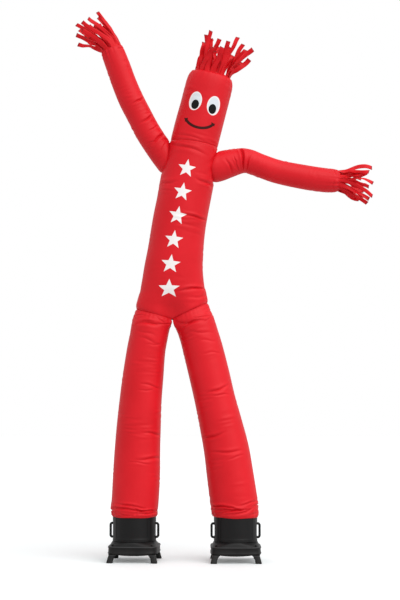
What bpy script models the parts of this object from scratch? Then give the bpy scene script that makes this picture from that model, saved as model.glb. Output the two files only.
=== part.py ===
"""Inflatable air dancer: a blown-up cloth figure whose two legs are pulled over two floor blowers.

Metres, +Z up. The figure faces -Y, and +X is on the right of someone who faces it. The origin is
on the floor, in the middle of the whole figure's box. Every cloth piece is the air-filled shape of
one sewn piece, parted from the next by a narrow gap along their seam.
"""
import math
from collections import namedtuple

import bmesh
import bpy
from mathutils import Matrix, Vector

# ---- driving dimensions --------------------------------------------------------------------------
FIT = 0.0003                # gap between two pieces that touch
ARM_GAP = 0.001             # gap along the curved seam between an arm and the torso
DRAPE = 0.002               # gap between cloth and the hard rim inside it

LEFT_X, LEFT_Y = -0.926, 0.025      # axis of the blower under each leg
RIGHT_X, RIGHT_Y = 0.108, -0.020
LEFT_TURN = -4.0            # degrees that the left blower is turned about its axis
HEM_HEIGHT = 0.445          # lower edge of each leg above the floor
HEM_RADIUS = 0.229          # outside of that edge

BARREL_RADIUS = 0.2220      # round blower body
BARREL_FLAT = 0.2145        # its flats behind the handles, from the axis
BARREL_BOTTOM = 0.2050
BARREL_TOP = 0.5150         # reaches 70 mm up inside the leg
FLAT_BOTTOM, FLAT_TOP = 0.230, 0.396
ROUND = 1.0                 # stands for no flat
BASE_HALF = 0.2575          # rounded-square base, half its side
BASE_SQUARENESS = 5.0       # power of its rounded-square outline
BASE_BOTTOM = 0.0880
INLET_HALF = 0.036          # power inlet block at the back
INLET_BOTTOM, INLET_TOP = 0.235, 0.285
INLET_REACH = 0.252         # from the blower's axis
INLET_CHAMFER = 0.006

HANDLE_Z = (0.243, 0.383)   # centres of the handle's two arms
HANDLE_REACH = 0.2500       # centre of the grip bar from the blower's axis
HANDLE_BEND = 0.020
HANDLE_THICK, HANDLE_WIDE = 0.0085, 0.0140     # half sizes of the grip bar

LEG_SIDES = 24              # facets round a leg
TORSO_SIDES = 28
BLOWER_SIDES = 40
ARM_SIDES = 20
RING_STEP = 0.20            # spacing of plain rings along a tube
RING_NEAREST = 0.016        # least spacing of two rings
END_BLEND = 0.45            # length over which rings turn level beyond a slanting cut end
CLEFT_WIDTH = 0.34          # of the hollow down the middle of a tube, as a share of its half width

FRINGE_BAND = 0.030         # height of the strip that each fringe is cut into
BAND_THICK = 0.004
STRIP_THICK = 0.003
STRIP_GAP = 0.15            # share of the band left open between two strips
STRIP_RINGS = 4
STRIP_RISE = 0.38           # share of a strip's reach over which it leaves its root straight
STRIP_FALL = 0.62           # share of the way to its tip where it bends over

CROTCH_X, CROTCH_Z = -0.540, 2.466
HIP_SLOPE_LEFT = 0.280      # rise of the hip seam per metre, outwards from the crotch
HIP_SLOPE_RIGHT = 0.465
NECK = (-0.318, 4.283)      # middle of the neck seam
NECK_TILT = 8.3             # degrees

RED = (0.70, 0.020, 0.030)
BLACK = (0.018, 0.018, 0.020)
CLOTH = (RED, 0.42)         # colour and roughness

Section = namedtuple("Section", "x y z half_width half_depth cleft", defaults=(0.0,))
Crease = namedtuple("Crease", "x z face reach width depth rise")
Strip = namedtuple("Strip", "reach side front bow twist")
Level = namedtuple("Level", "z size shape")
FootLevel = namedtuple("FootLevel", "z out half")

# ---- cloth tubes: a row for each section, from the low end up or from the shoulder out -----------
LEFT_LEG = (
    Section(LEFT_X, LEFT_Y, HEM_HEIGHT, HEM_RADIUS, HEM_RADIUS),
    Section(LEFT_X, LEFT_Y, 0.475, 0.232, 0.231),
    Section(-0.927, 0.024, 0.537, 0.240, 0.238),
    Section(-0.919, 0.022, 0.618, 0.241, 0.240),
    Section(-0.906, 0.018, 0.872, 0.241, 0.240),
    Section(-0.897, 0.014, 1.127, 0.234, 0.235),
    Section(-0.883, 0.010, 1.383, 0.226, 0.230),
    Section(-0.865, 0.006, 1.639, 0.216, 0.224),
    Section(-0.839, 0.004, 1.896, 0.209, 0.218),
    Section(-0.809, 0.002, 2.153, 0.198, 0.214),
    Section(-0.782, 0.000, 2.297, 0.196, 0.212),
    Section(-0.760, 0.000, 2.421, 0.198, 0.208),
    Section(-0.739, 0.000, 2.510, 0.196, 0.204),
    Section(-0.722, 0.000, 2.620, 0.186, 0.202),
    Section(-0.712, 0.000, 2.760, 0.182, 0.200),
)
RIGHT_LEG = (
    Section(RIGHT_X, RIGHT_Y, HEM_HEIGHT, HEM_RADIUS, HEM_RADIUS),
    Section(RIGHT_X, RIGHT_Y, 0.475, 0.232, 0.231),
    Section(0.100, -0.019, 0.537, 0.242, 0.238),
    Section(0.090, -0.018, 0.618, 0.243, 0.240),
    Section(0.054, -0.015, 0.872, 0.239, 0.240),
    Section(0.017, -0.012, 1.127, 0.232, 0.236),
    Section(-0.039, -0.009, 1.383, 0.220, 0.230),
    Section(-0.100, -0.006, 1.639, 0.209, 0.224),
    Section(-0.159, -0.004, 1.896, 0.208, 0.219),
    Section(-0.223, -0.002, 2.153, 0.206, 0.215),
    Section(-0.263, 0.000, 2.297, 0.202, 0.212),
    Section(-0.303, 0.000, 2.421, 0.202, 0.208),
    Section(-0.336, 0.000, 2.510, 0.195, 0.204),
    Section(-0.362, 0.000, 2.620, 0.186, 0.202),
    Section(-0.380, 0.000, 2.760, 0.182, 0.200),
)
TORSO = (
    Section(-0.540, 0.000, 2.350, 0.384, 0.212, 0.55),
    Section(-0.540, 0.000, 2.470, 0.380, 0.214, 0.50),
    Section(-0.541, 0.000, 2.570, 0.375, 0.220, 0.34),
    Section(-0.537, 0.000, 2.645, 0.366, 0.228, 0.18),
    Section(-0.535, 0.000, 2.725, 0.349, 0.236, 0.06),
    Section(-0.536, 0.000, 2.803, 0.329, 0.246),
    Section(-0.528, 0.000, 2.990, 0.304, 0.262),
    Section(-0.507, 0.000, 3.177, 0.288, 0.272),
    Section(-0.489, 0.000, 3.333, 0.281, 0.276),
    Section(-0.466, 0.000, 3.489, 0.278, 0.277),
    Section(-0.430, 0.000, 3.676, 0.276, 0.276),
    Section(-0.393, 0.000, 3.880, 0.278, 0.274),
    Section(-0.363, -0.002, 4.060, 0.273, 0.268),
    Section(-0.338, -0.004, 4.190, 0.262, 0.258),
    Section(-0.318, -0.005, 4.283, 0.248, 0.248),
    Section(-0.304, -0.006, 4.380, 0.244, 0.246),
)
HEAD = (
    Section(-0.330, -0.005, 4.190, 0.244, 0.246),
    Section(-0.318, -0.005, 4.283, 0.244, 0.246),
    Section(-0.301, -0.006, 4.358, 0.246, 0.248),
    Section(-0.265, -0.008, 4.498, 0.246, 0.248),
    Section(-0.219, -0.010, 4.670, 0.244, 0.246),
    Section(-0.183, -0.012, 4.811, 0.244, 0.246),
    Section(-0.157, -0.013, 4.910, 0.242, 0.244),
    Section(-0.140, -0.014, 4.970, 0.232, 0.234),
    Section(-0.131, -0.014, 5.004, 0.214, 0.216),
    Section(-0.127, -0.015, 5.020, 0.195, 0.197),
)
LEFT_ARM = (
    Section(-0.470, 0.000, 3.985, 0.140, 0.140),
    Section(-0.586, -0.002, 4.115, 0.136, 0.138),
    Section(-0.659, -0.005, 4.209, 0.134, 0.136),
    Section(-0.794, -0.014, 4.414, 0.133, 0.134),
    Section(-0.883, -0.022, 4.582, 0.131, 0.132),
    Section(-0.972, -0.032, 4.755, 0.131, 0.132),
    Section(-1.043, -0.042, 4.924, 0.128, 0.129),
    Section(-1.104, -0.052, 5.093, 0.126, 0.127),
    Section(-1.156, -0.060, 5.230, 0.120, 0.121),
    Section(-1.175, -0.063, 5.280, 0.114, 0.115),
)
RIGHT_ARM = (
    Section(-0.230, 0.000, 4.035, 0.152, 0.150),
    Section(-0.082, 0.002, 4.052, 0.155, 0.150),
    Section(0.042, 0.005, 4.088, 0.146, 0.144),
    Section(0.141, 0.009, 4.113, 0.134, 0.138),
    Section(0.198, 0.012, 4.120, 0.129, 0.134),
    Section(0.260, 0.015, 4.111, 0.125, 0.131),
    Section(0.374, 0.021, 4.068, 0.122, 0.128),
    Section(0.556, 0.030, 4.007, 0.123, 0.126),
    Section(0.841, 0.042, 3.950, 0.127, 0.127),
    Section(1.038, 0.049, 3.922, 0.126, 0.126),
    Section(1.131, 0.052, 3.916, 0.122, 0.122),
    Section(1.185, 0.054, 3.915, 0.113, 0.114),
)

# ---- creases: place seen from the front, face (+1 front, -1 back), reach round in degrees, -------
# ---- half width, depth (a ridge is negative) and rise from the left end to the right end ---------
LEFT_LEG_CREASES = (
    Crease(-0.760, 2.425, 1, 52, 0.034, 0.024, 0.045),
    Crease(-0.760, 2.255, 1, 44, 0.026, 0.010, -0.050),
    Crease(-0.745, 1.780, 1, 40, 0.024, 0.009, -0.040),
    Crease(-0.710, 1.295, 1, 42, 0.026, 0.014, -0.020),
    Crease(-0.740, 1.045, 1, 55, 0.028, 0.016, 0.015),
    Crease(-0.960, 0.575, 1, 46, 0.020, 0.012, -0.018),
    Crease(-0.900, 0.530, 1, 60, 0.020, 0.020, -0.030),
    Crease(-0.780, 0.498, 1, 40, 0.016, 0.013, -0.012),
    Crease(-0.900, 2.330, -1, 60, 0.034, 0.018, 0.030),
    Crease(-0.800, 1.520, -1, 55, 0.030, 0.012, 0.030),
    Crease(-0.950, 0.545, -1, 62, 0.022, 0.019, 0.020),
)
RIGHT_LEG_CREASES = (
    Crease(-0.345, 2.430, 1, 54, 0.034, 0.024, -0.090),
    Crease(-0.120, 2.120, 1, 34, 0.024, 0.008, -0.030),
    Crease(-0.075, 1.745, 1, 50, 0.028, 0.014, 0.050),
    Crease(-0.150, 1.262, 1, 50, 0.028, 0.016, 0.030),
    Crease(0.020, 1.115, 1, 50, 0.026, 0.013, -0.040),
    Crease(-0.060, 0.560, 1, 40, 0.022, 0.022, -0.040),
    Crease(0.060, 0.528, 1, 58, 0.020, 0.022, -0.040),
    Crease(0.250, 0.600, 1, 36, 0.018, 0.011, 0.020),
    Crease(-0.180, 2.320, -1, 60, 0.034, 0.018, 0.040),
    Crease(0.020, 1.450, -1, 55, 0.030, 0.012, -0.030),
    Crease(0.100, 0.540, -1, 64, 0.022, 0.019, -0.020),
)
TORSO_CREASES = (
    Crease(-0.300, 2.775, 1, 44, 0.030, 0.018, 0.050),
    Crease(-0.290, 3.500, 1, 42, 0.028, 0.014, 0.020),
    Crease(-0.600, 3.860, 1, 34, 0.030, 0.012, 0.060),
    Crease(-0.190, 3.860, 1, 34, 0.030, 0.013, -0.050),
    Crease(-0.400, 4.215, 1, 60, 0.034, 0.014, -0.050),
    Crease(-0.700, 2.860, -1, 48, 0.032, 0.016, 0.030),
    Crease(-0.300, 3.420, -1, 46, 0.030, 0.013, -0.030),
    Crease(-0.340, 4.200, -1, 70, 0.034, 0.016, -0.060),
)
HEAD_CREASES = (
    Crease(-0.360, 4.330, 1, 60, 0.026, 0.008, -0.030),
    Crease(-0.200, 4.860, -1, 50, 0.028, 0.008, -0.030),
)
LEFT_ARM_CREASES = (
    Crease(-0.880, 4.735, 1, 52, 0.022, 0.013, 0.035),
    Crease(-0.790, 4.545, 1, 56, 0.024, 0.015, 0.045),
    Crease(-0.670, 4.350, 1, 60, 0.026, 0.017, 0.050),
    Crease(-0.720, 4.380, -1, 60, 0.026, 0.015, 0.050),
    Crease(-1.060, 5.050, -1, 50, 0.022, 0.010, 0.020),
)
RIGHT_ARM_CREASES = (
    Crease(0.175, 4.140, 1, 80, 0.022, 0.026, 0.020),
    Crease(0.235, 4.080, 1, 50, 0.018, 0.011, -0.010),
    Crease(0.050, 4.030, 1, 48, 0.024, 0.012, 0.040),
    Crease(0.175, 4.150, -1, 80, 0.022, 0.022, -0.020),
    Crease(0.620, 3.980, -1, 50, 0.022, 0.010, 0.020),
)

# ---- fringe strips in order round the band from its right side over the front: tip along the -----
# ---- tube, to its right and forwards, sideways bow, and twist in degrees -------------------------
HAIR = (
    Strip(0.229, 0.322, 0.020, -0.010, 50), Strip(0.322, 0.333, 0.090, -0.030, -60),
    Strip(0.340, 0.227, 0.145, -0.015, 50), Strip(0.386, 0.163, 0.195, -0.020, -40),
    Strip(0.320, 0.082, 0.235, 0.000, 50), Strip(0.245, 0.040, 0.264, 0.010, -30),
    Strip(0.319, -0.005, 0.240, -0.010, 40), Strip(0.225, -0.055, 0.262, 0.000, -50),
    Strip(0.383, -0.107, 0.200, 0.000, 30), Strip(0.270, -0.148, 0.132, 0.010, -30),
    Strip(0.356, -0.150, 0.070, 0.015, -70), Strip(0.280, -0.150, -0.020, 0.012, 30),
    Strip(0.340, -0.125, -0.105, 0.000, -40), Strip(0.375, -0.095, -0.180, 0.010, 50),
    Strip(0.260, -0.090, -0.255, 0.000, -30), Strip(0.330, -0.010, -0.260, 0.000, 30),
    Strip(0.300, 0.040, -0.320, 0.000, -50), Strip(0.350, 0.090, -0.260, 0.010, 40),
    Strip(0.280, 0.140, -0.260, 0.000, -30), Strip(0.320, 0.205, -0.190, -0.010, 40),
    Strip(0.220, 0.240, -0.155, 0.000, -40), Strip(0.326, 0.265, -0.075, -0.020, 40),
)
LEFT_HAND = (
    Strip(0.398, -0.002, 0.010, 0.000, 35), Strip(0.263, -0.035, 0.080, 0.000, 40),
    Strip(0.350, -0.112, 0.130, 0.010, -50), Strip(0.330, -0.184, 0.155, 0.010, 40),
    Strip(0.334, -0.248, 0.115, 0.015, -30), Strip(0.250, -0.215, 0.185, 0.010, 40),
    Strip(0.245, -0.284, 0.070, 0.010, -40), Strip(0.160, -0.303, 0.010, 0.010, 50),
    Strip(0.240, -0.250, -0.070, 0.010, -40), Strip(0.320, -0.240, -0.130, 0.010, 30),
    Strip(0.350, -0.185, -0.175, 0.010, -40), Strip(0.345, -0.125, -0.190, 0.010, 50),
    Strip(0.320, -0.070, -0.150, 0.000, -40), Strip(0.360, -0.012, -0.080, 0.000, 30),
)
RIGHT_HAND = (
    Strip(0.212, 0.196, 0.015, 0.000, 50), Strip(0.288, 0.232, 0.070, -0.010, -35),
    Strip(0.301, 0.195, 0.120, -0.010, 40), Strip(0.330, 0.168, 0.150, -0.015, -35),
    Strip(0.283, 0.084, 0.190, 0.000, 40), Strip(0.338, 0.034, 0.125, -0.025, -40),
    Strip(0.304, -0.086, 0.070, 0.000, 60), Strip(0.347, -0.142, -0.005, -0.045, -40),
    Strip(0.270, -0.105, -0.080, 0.000, 40), Strip(0.260, -0.050, -0.140, 0.000, -40),
    Strip(0.310, 0.015, -0.170, 0.000, 40), Strip(0.290, 0.075, -0.170, 0.000, -30),
    Strip(0.310, 0.140, -0.130, 0.000, 40), Strip(0.265, 0.175, -0.060, 0.000, -40),
)

# ---- blower: a row for each level ----------------------------------------------------------------
BARREL = (                  # shape: distance of the side flats from the axis
    Level(BARREL_BOTTOM, BARREL_RADIUS - 0.003, ROUND), Level(BARREL_BOTTOM + 0.004, BARREL_RADIUS, ROUND),
    Level(FLAT_BOTTOM - 0.006, BARREL_RADIUS, ROUND), Level(FLAT_BOTTOM, BARREL_RADIUS, BARREL_FLAT),
    Level(FLAT_TOP, BARREL_RADIUS, BARREL_FLAT), Level(FLAT_TOP + 0.006, BARREL_RADIUS, ROUND),
    Level(BARREL_TOP - 0.004, BARREL_RADIUS, ROUND), Level(BARREL_TOP, BARREL_RADIUS - 0.004, ROUND),
)
BASE = (                    # shape: power of the outline, where 2 is a circle
    Level(0.066, 0.190, 2.0), Level(BASE_BOTTOM - 0.004, 0.205, 2.0), Level(BASE_BOTTOM, 0.206, 2.0),
    Level(BASE_BOTTOM + FIT, BASE_HALF - 0.004, BASE_SQUARENESS),
    Level(BASE_BOTTOM + 0.006, BASE_HALF, BASE_SQUARENESS),
    Level(0.160, BASE_HALF - 0.002, BASE_SQUARENESS), Level(0.166, BASE_HALF - 0.008, BASE_SQUARENESS),
    Level(0.186, 0.238, 3.6), Level(BARREL_BOTTOM - FIT, BARREL_RADIUS + 0.005, 2.0),
)
FOOT = (                    # out: distance from the blower's axis along both sides of the base
    FootLevel(0.000, 0.225, 0.0300), FootLevel(0.006, 0.225, 0.0330), FootLevel(0.040, 0.219, 0.0305),
    FootLevel(0.068, 0.208, 0.0330), FootLevel(BASE_BOTTOM - FIT, 0.196, 0.0480),
)
FOOT_SIDES = 8
BAR_SIDES = 8


# ---- helpers -------------------------------------------------------------------------------------
def clear_scene():
    """Remove every object that the file opens with."""
    for thing in list(bpy.data.objects):
        bpy.data.objects.remove(thing, do_unlink=True)


def material(name, colour, roughness):
    """One plain Principled material."""
    made = bpy.data.materials.new(name)
    made.use_nodes = True
    shader = made.node_tree.nodes["Principled BSDF"]
    shader.inputs["Base Color"].default_value = (*colour, 1.0)
    shader.inputs["Roughness"].default_value = roughness
    shader.inputs["Metallic"].default_value = 0.0
    return made


def add_object(name, bm, look, smooth_angle=40.0):
    """Turn a finished bmesh into a named, smooth-shaded object with its own material."""
    bmesh.ops.recalc_face_normals(bm, faces=bm.faces)
    mesh = bpy.data.meshes.new(name)
    bm.to_mesh(mesh)
    bm.free()
    mesh.shade_smooth()
    mesh.set_sharp_from_angle(angle=math.radians(smooth_angle))
    mesh.materials.append(material(name + "_finish", *look))
    made = bpy.data.objects.new(name, mesh)
    bpy.context.collection.objects.link(made)
    return made


def bridge(bm, lower, upper):
    """Join two rings of as many vertices with four-sided faces."""
    count = len(lower)
    for i in range(count):
        j = (i + 1) % count
        bm.faces.new((lower[i], lower[j], upper[j], upper[i]))


def bridge_twisted(bm, lower, upper, twist):
    """Join two rings with triangles whose diagonals bulge outwards for this sense of twist."""
    count = len(lower)
    for i in range(count):
        j = (i + 1) % count
        if twist > 0:
            bm.faces.new((lower[i], lower[j], upper[j]))
            bm.faces.new((lower[i], upper[j], upper[i]))
        else:
            bm.faces.new((lower[i], lower[j], upper[i]))
            bm.faces.new((lower[j], upper[j], upper[i]))


def cap(bm, ring):
    """Close a ring from its front half to its back half, so a bent seam line keeps its bend."""
    count = len(ring)
    for i in range(count // 2):
        front = (ring[i], ring[i + 1])
        back = (ring[(count - i - 1) % count], ring[(count - i) % count])
        corners = list(dict.fromkeys((*front, *back)))
        bm.faces.new(corners)


# ---- cloth tubes ---------------------------------------------------------------------------------
class Tube:
    """A smooth tube through a table of sections, measured by the distance along its middle."""

    def __init__(self, rows, creases=(), grow=0.0):
        self.rows = rows
        self.grow = grow
        self.points = [Vector((r.x, r.y, r.z)) for r in rows]
        self.knots = [0.0]
        for a, b in zip(self.points, self.points[1:]):
            self.knots.append(self.knots[-1] + (b - a).length)
        self.length = self.knots[-1]
        self.creases = [self.place(crease) for crease in creases]

    def value(self, s, samples):
        """Smooth value at s of one quantity known at each section; straight beyond the ends."""
        knots = self.knots
        last = len(knots) - 1
        k = next((i for i in range(last) if s <= knots[i + 1]), last - 1)

        def slope(i):
            a, b = max(i - 1, 0), min(i + 1, last)
            return (samples[b] - samples[a]) / (knots[b] - knots[a])

        if s < 0.0:
            return samples[0] + slope(0) * s
        if s > self.length:
            return samples[last] + slope(last) * (s - self.length)
        span = knots[k + 1] - knots[k]
        u = (s - knots[k]) / span
        rise = samples[k + 1] - samples[k]
        bend = (1 - u) * (slope(k) * span - rise) - u * (slope(k + 1) * span - rise)
        return samples[k] + rise * u + bend * u * (1 - u)

    def middle(self, s):
        return self.value(s, self.points)

    def axes(self, s):
        """Directions along the tube, to its side and out of its front."""
        along = (self.middle(s + 0.01) - self.middle(s - 0.01)).normalized()
        front = Vector((0, -1, 0))
        front = (front - along * front.dot(along)).normalized()
        return along, along.cross(front), front

    def place(self, crease):
        """Where a crease seen from the front lies: distance along the tube and angle round it."""
        spot = Vector((crease.x, 0.0, crease.z))
        steps = [self.length * i / 400 for i in range(401)]
        flat = [Vector((p.x, 0.0, p.z)) for p in map(self.middle, steps)]
        best = min(range(401), key=lambda i: (flat[i] - spot).length)
        _, side, _ = self.axes(steps[best])
        share = (spot - flat[best]).dot(side) / self.value(steps[best], [r.half_width for r in self.rows])
        angle = math.acos(max(-0.98, min(0.98, share))) * crease.face
        return crease, steps[best], angle

    def point(self, s, angle):
        """A point of the cloth at distance s along the tube and at an angle round it."""
        along, side, front = self.axes(s)
        wide = self.value(s, [r.half_width for r in self.rows]) + self.grow
        deep = self.value(s, [r.half_depth for r in self.rows]) + self.grow
        cleft = self.value(s, [r.cleft for r in self.rows])
        deep *= 1.0 - max(0.0, cleft) * math.exp(-(math.cos(angle) / CLEFT_WIDTH) ** 2)
        push = 0.0
        for crease, at, round_at in self.creases:
            turn = math.remainder(angle - round_at, math.tau) / math.radians(crease.reach)
            if abs(turn) < 1.0:
                off = (s - at + 0.5 * crease.rise * turn * crease.face) / crease.width
                trough = (1.0 - 0.5 * off * off) * math.exp(-0.5 * off * off)
                push += crease.depth * trough * math.cos(turn * math.pi / 2) ** 2
        return (self.middle(s) + side * (wide - push) * math.cos(angle)
                + front * (deep - push) * math.sin(angle))

    def stations(self):
        """Distances of the rings: an even step, and three across each crease."""
        count = round(self.length / RING_STEP)
        marks = [self.length * i / count for i in range(count + 1)]
        for crease, at, _ in self.creases:
            marks += [at - 1.1 * crease.width, at, at + 1.1 * crease.width]
        kept = [0.0]
        for mark in sorted(m for m in marks if 0.0 < m < self.length):
            if mark - kept[-1] > RING_NEAREST and self.length - mark > RING_NEAREST:
                kept.append(mark)
        return kept + [self.length]

    def seam(self, angle, inside, low):
        """Distance along the tube at which one line of cloth meets the seam at its low or high end."""
        near, far = (0.0, 0.6 * self.length) if low else (self.length, 0.4 * self.length)
        for _ in range(40):
            half = 0.5 * (near + far)
            if inside(self.point(half, angle)) < 0.0:
                near = half
            else:
                far = half
        return far

    def shell(self, sides, low=None, high=None, socket=None):
        """The closed cloth shape, with seam functions for cut ends or a round socket below."""
        bm = bmesh.new()
        marks = self.stations()
        angles = [math.tau * i / sides for i in range(sides)]
        starts = [self.seam(a, low, True) if low else 0.0 for a in angles]
        ends = [self.seam(a, high, False) if high else self.length for a in angles]
        first, final = min(starts), max(ends)
        marks = [first] + [m for m in marks if first + RING_NEAREST < m < final - RING_NEAREST] + [final]
        rings = []
        for mark in marks:
            ring = []
            for angle, start, end in zip(angles, starts, ends):
                s = mark + (start - first) * max(0.0, 1.0 - (mark - first) / END_BLEND)
                s += (end - final) * max(0.0, 1.0 - (final - mark) / END_BLEND)
                ring.append(bm.verts.new(self.point(s, angle)))
            rings.append(ring)
        for lower, upper in zip(rings, rings[1:]):
            bridge(bm, lower, upper)
        cap(bm, rings[-1])
        bottom = rings[0]
        if socket:
            radius, top = socket
            centre = self.middle(0.0)
            for z in (centre.z, top):
                ring = [bm.verts.new((centre.x + radius * math.cos(a), centre.y - radius * math.sin(a), z))
                        for a in angles]
                bridge(bm, bottom, ring)
                bottom = ring
        cap(bm, bottom)
        return bm


def hip_seam(sign):
    """Signed height above (+1) or below (-1) the two sloping hip seams, less the fit gap."""
    def inside(p):
        slope = HIP_SLOPE_LEFT if p.x < CROTCH_X else HIP_SLOPE_RIGHT
        return sign * (p.z - CROTCH_Z - slope * abs(p.x - CROTCH_X)) - FIT
    return inside


def neck_seam(sign):
    """Signed distance above (+1) or below (-1) the tilted neck seam, less half the fit gap."""
    tilt = math.radians(NECK_TILT)
    up = Vector((math.sin(tilt), 0.0, math.cos(tilt)))
    middle = Vector((NECK[0], 0.0, NECK[1]))
    return lambda p: sign * (p - middle).dot(up) - FIT / 2


def cut_away(target, cutter_bm):
    """Take a cutter's shape out of an object and apply the cut."""
    bmesh.ops.recalc_face_normals(cutter_bm, faces=cutter_bm.faces)
    mesh = bpy.data.meshes.new("cutter")
    cutter_bm.to_mesh(mesh)
    cutter_bm.free()
    cutter = bpy.data.objects.new("cutter", mesh)
    bpy.context.collection.objects.link(cutter)
    cutter.hide_render = True
    cutter.display_type = "WIRE"
    cut = target.modifiers.new("armhole", "BOOLEAN")
    cut.operation = "DIFFERENCE"
    cut.solver = "EXACT"
    cut.object = cutter


# ---- fringes -------------------------------------------------------------------------------------
def strip_sections(root, tip, along, bow, twist, wide):
    """Middle, flat direction and thickness direction at each section of one strip, up to its tip."""
    bend = root.lerp(tip, STRIP_FALL) + bow
    handle = root + along * (STRIP_RISE * (tip - root).length)
    sections = []
    for i in range(1, STRIP_RINGS + 1):
        u = i / STRIP_RINGS
        spot = (root * (1 - u) ** 3 + handle * 3 * u * (1 - u) ** 2
                + bend * 3 * u * u * (1 - u) + tip * u ** 3)
        ahead = ((handle - root) * (1 - u) ** 2 + (bend - handle) * 2 * u * (1 - u)
                 + (tip - bend) * u * u).normalized()
        flat = (wide - ahead * wide.dot(ahead)).normalized()
        flat = Matrix.Rotation(math.radians(twist) * u, 3, ahead) @ flat
        sections.append((spot, flat, ahead.cross(flat)))
    return sections


def fringe(name, tube, strips):
    """A narrow band beyond the tube's end, cut into strips that stay joined at their roots."""
    bm = bmesh.new()
    along, side, front = tube.axes(tube.length)
    base = tube.middle(tube.length) + along * FIT
    outer_wide, outer_deep = tube.rows[-1].half_width, tube.rows[-1].half_depth
    count = len(strips)
    step = math.tau / count
    half_gap = step * STRIP_GAP / 2

    def rim(angle, inset, height):
        return (base + side * (outer_wide - inset) * math.cos(angle)
                + front * (outer_deep - inset) * math.sin(angle) + along * height)

    edges = []
    for k in range(count):
        edges += [k * step - step / 2 + half_gap, k * step + step / 2 - half_gap]
    corners = ((0.0, 0.0), (0.0, FRINGE_BAND), (BAND_THICK, FRINGE_BAND), (BAND_THICK, 0.0))
    loops = [[bm.verts.new(rim(a, inset, height)) for a in edges] for inset, height in corners]
    low_out, top_out, top_in, low_in = loops
    bridge(bm, low_out, top_out)
    bridge(bm, top_in, low_in)
    bridge(bm, low_in, low_out)
    strip_half = 0.5 * (top_out[0].co - top_out[1].co).length
    for k, strip in enumerate(strips):
        a, b = 2 * k, 2 * k + 1
        nxt = (b + 1) % (2 * count)
        bm.faces.new((top_out[b], top_out[nxt], top_in[nxt], top_in[b]))
        middle = k * step
        root = rim(middle, BAND_THICK / 2, FRINGE_BAND)
        wide = (top_out[b].co - top_out[a].co).normalized()
        tip = base + along * strip.reach + side * strip.side + front * strip.front
        ring = [top_out[a], top_out[b], top_in[b], top_in[a]]
        for spot, flat, thick in strip_sections(root, tip, along, side * strip.bow, strip.twist, wide):
            new = [bm.verts.new(spot + flat * (strip_half * sx) + thick * (STRIP_THICK / 2 * sy))
                   for sx, sy in ((-1, 1), (1, 1), (1, -1), (-1, -1))]
            bridge_twisted(bm, ring, new, strip.twist)
            ring = new
        bm.faces.new(ring)
    return add_object(name, bm, CLOTH, 30.0)


# ---- blowers -------------------------------------------------------------------------------------
def loft(rings):
    """A closed shape through a stack of outlines, each a list of points."""
    bm = bmesh.new()
    loops = [[bm.verts.new(point) for point in ring] for ring in rings]
    for lower, upper in zip(loops, loops[1:]):
        bridge(bm, lower, upper)
    bm.faces.new(loops[0])
    bm.faces.new(loops[-1])
    return bm


def rounded_square(half, power, angle):
    """Point at an angle on a square with rounded corners."""
    c, s = math.cos(angle), math.sin(angle)
    r = half / (abs(c) ** power + abs(s) ** power) ** (1.0 / power)
    return r * c, r * s


def turn(sides):
    """Angles of the points of one ring."""
    return [math.tau * i / sides for i in range(sides)]


def barrel():
    """The round blower body, with flats behind the handles."""
    return loft([[(max(-row.shape, min(row.shape, row.size * math.cos(a))), row.size * math.sin(a), row.z)
                  for a in turn(BLOWER_SIDES)] for row in BARREL])


def base():
    """Base from a round intake below, over the rounded square, to the round seat of the barrel."""
    return loft([[(*rounded_square(row.size, row.shape, a), row.z) for a in turn(BLOWER_SIDES)]
                 for row in BASE])


def foot(corner_x, corner_y):
    """One splayed foot under a corner of the base."""
    rings = []
    for row in FOOT:
        ring = []
        for a in turn(FOOT_SIDES):
            x, y = rounded_square(row.half, 4.0, a + math.pi / FOOT_SIDES)
            ring.append((corner_x * row.out + x, corner_y * row.out + y, row.z))
        rings.append(ring)
    return loft(rings)


def handle(sign):
    """A bent grip bar that stands out from one flat of the barrel."""
    low, high = HANDLE_Z
    start = BARREL_FLAT + FIT
    path = [(start, low)]
    for middle, first in ((low + HANDLE_BEND, -90), (high - HANDLE_BEND, 0)):
        for step in (0, 30, 60, 90):
            a = math.radians(first + step)
            path.append((HANDLE_REACH - HANDLE_BEND + HANDLE_BEND * math.cos(a),
                         middle + HANDLE_BEND * math.sin(a)))
    path.append((start, high))
    rings = []
    for i, (x, z) in enumerate(path):
        before, after = path[max(i - 1, 0)], path[min(i + 1, len(path) - 1)]
        ahead = Vector((after[0] - before[0], 0.0, after[1] - before[1])).normalized()
        ring = []
        for a in turn(BAR_SIDES):
            a += math.pi / BAR_SIDES
            thick = HANDLE_THICK / math.cos(math.pi / BAR_SIDES) * math.cos(a)
            wide = HANDLE_WIDE / math.cos(math.pi / BAR_SIDES) * math.sin(a)
            ring.append((sign * (x + ahead.z * thick), wide, z - ahead.x * thick))
        rings.append(ring)
    return loft(rings)


def inlet():
    """The block at the back of the barrel that takes the power lead, hollowed to fit its curve."""
    seat = BARREL_RADIUS + 2 * FIT
    inner = [INLET_HALF * (1 - i / 3) for i in range(7)]
    outline = [(x, math.sqrt(seat * seat - x * x)) for x in inner]
    outline += [(-INLET_HALF, INLET_REACH - INLET_CHAMFER), (-INLET_HALF + INLET_CHAMFER, INLET_REACH),
                (INLET_HALF - INLET_CHAMFER, INLET_REACH), (INLET_HALF, INLET_REACH - INLET_CHAMFER)]
    return loft([[(x, y, z) for x, y in outline] for z in (INLET_BOTTOM, INLET_TOP)])


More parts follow.
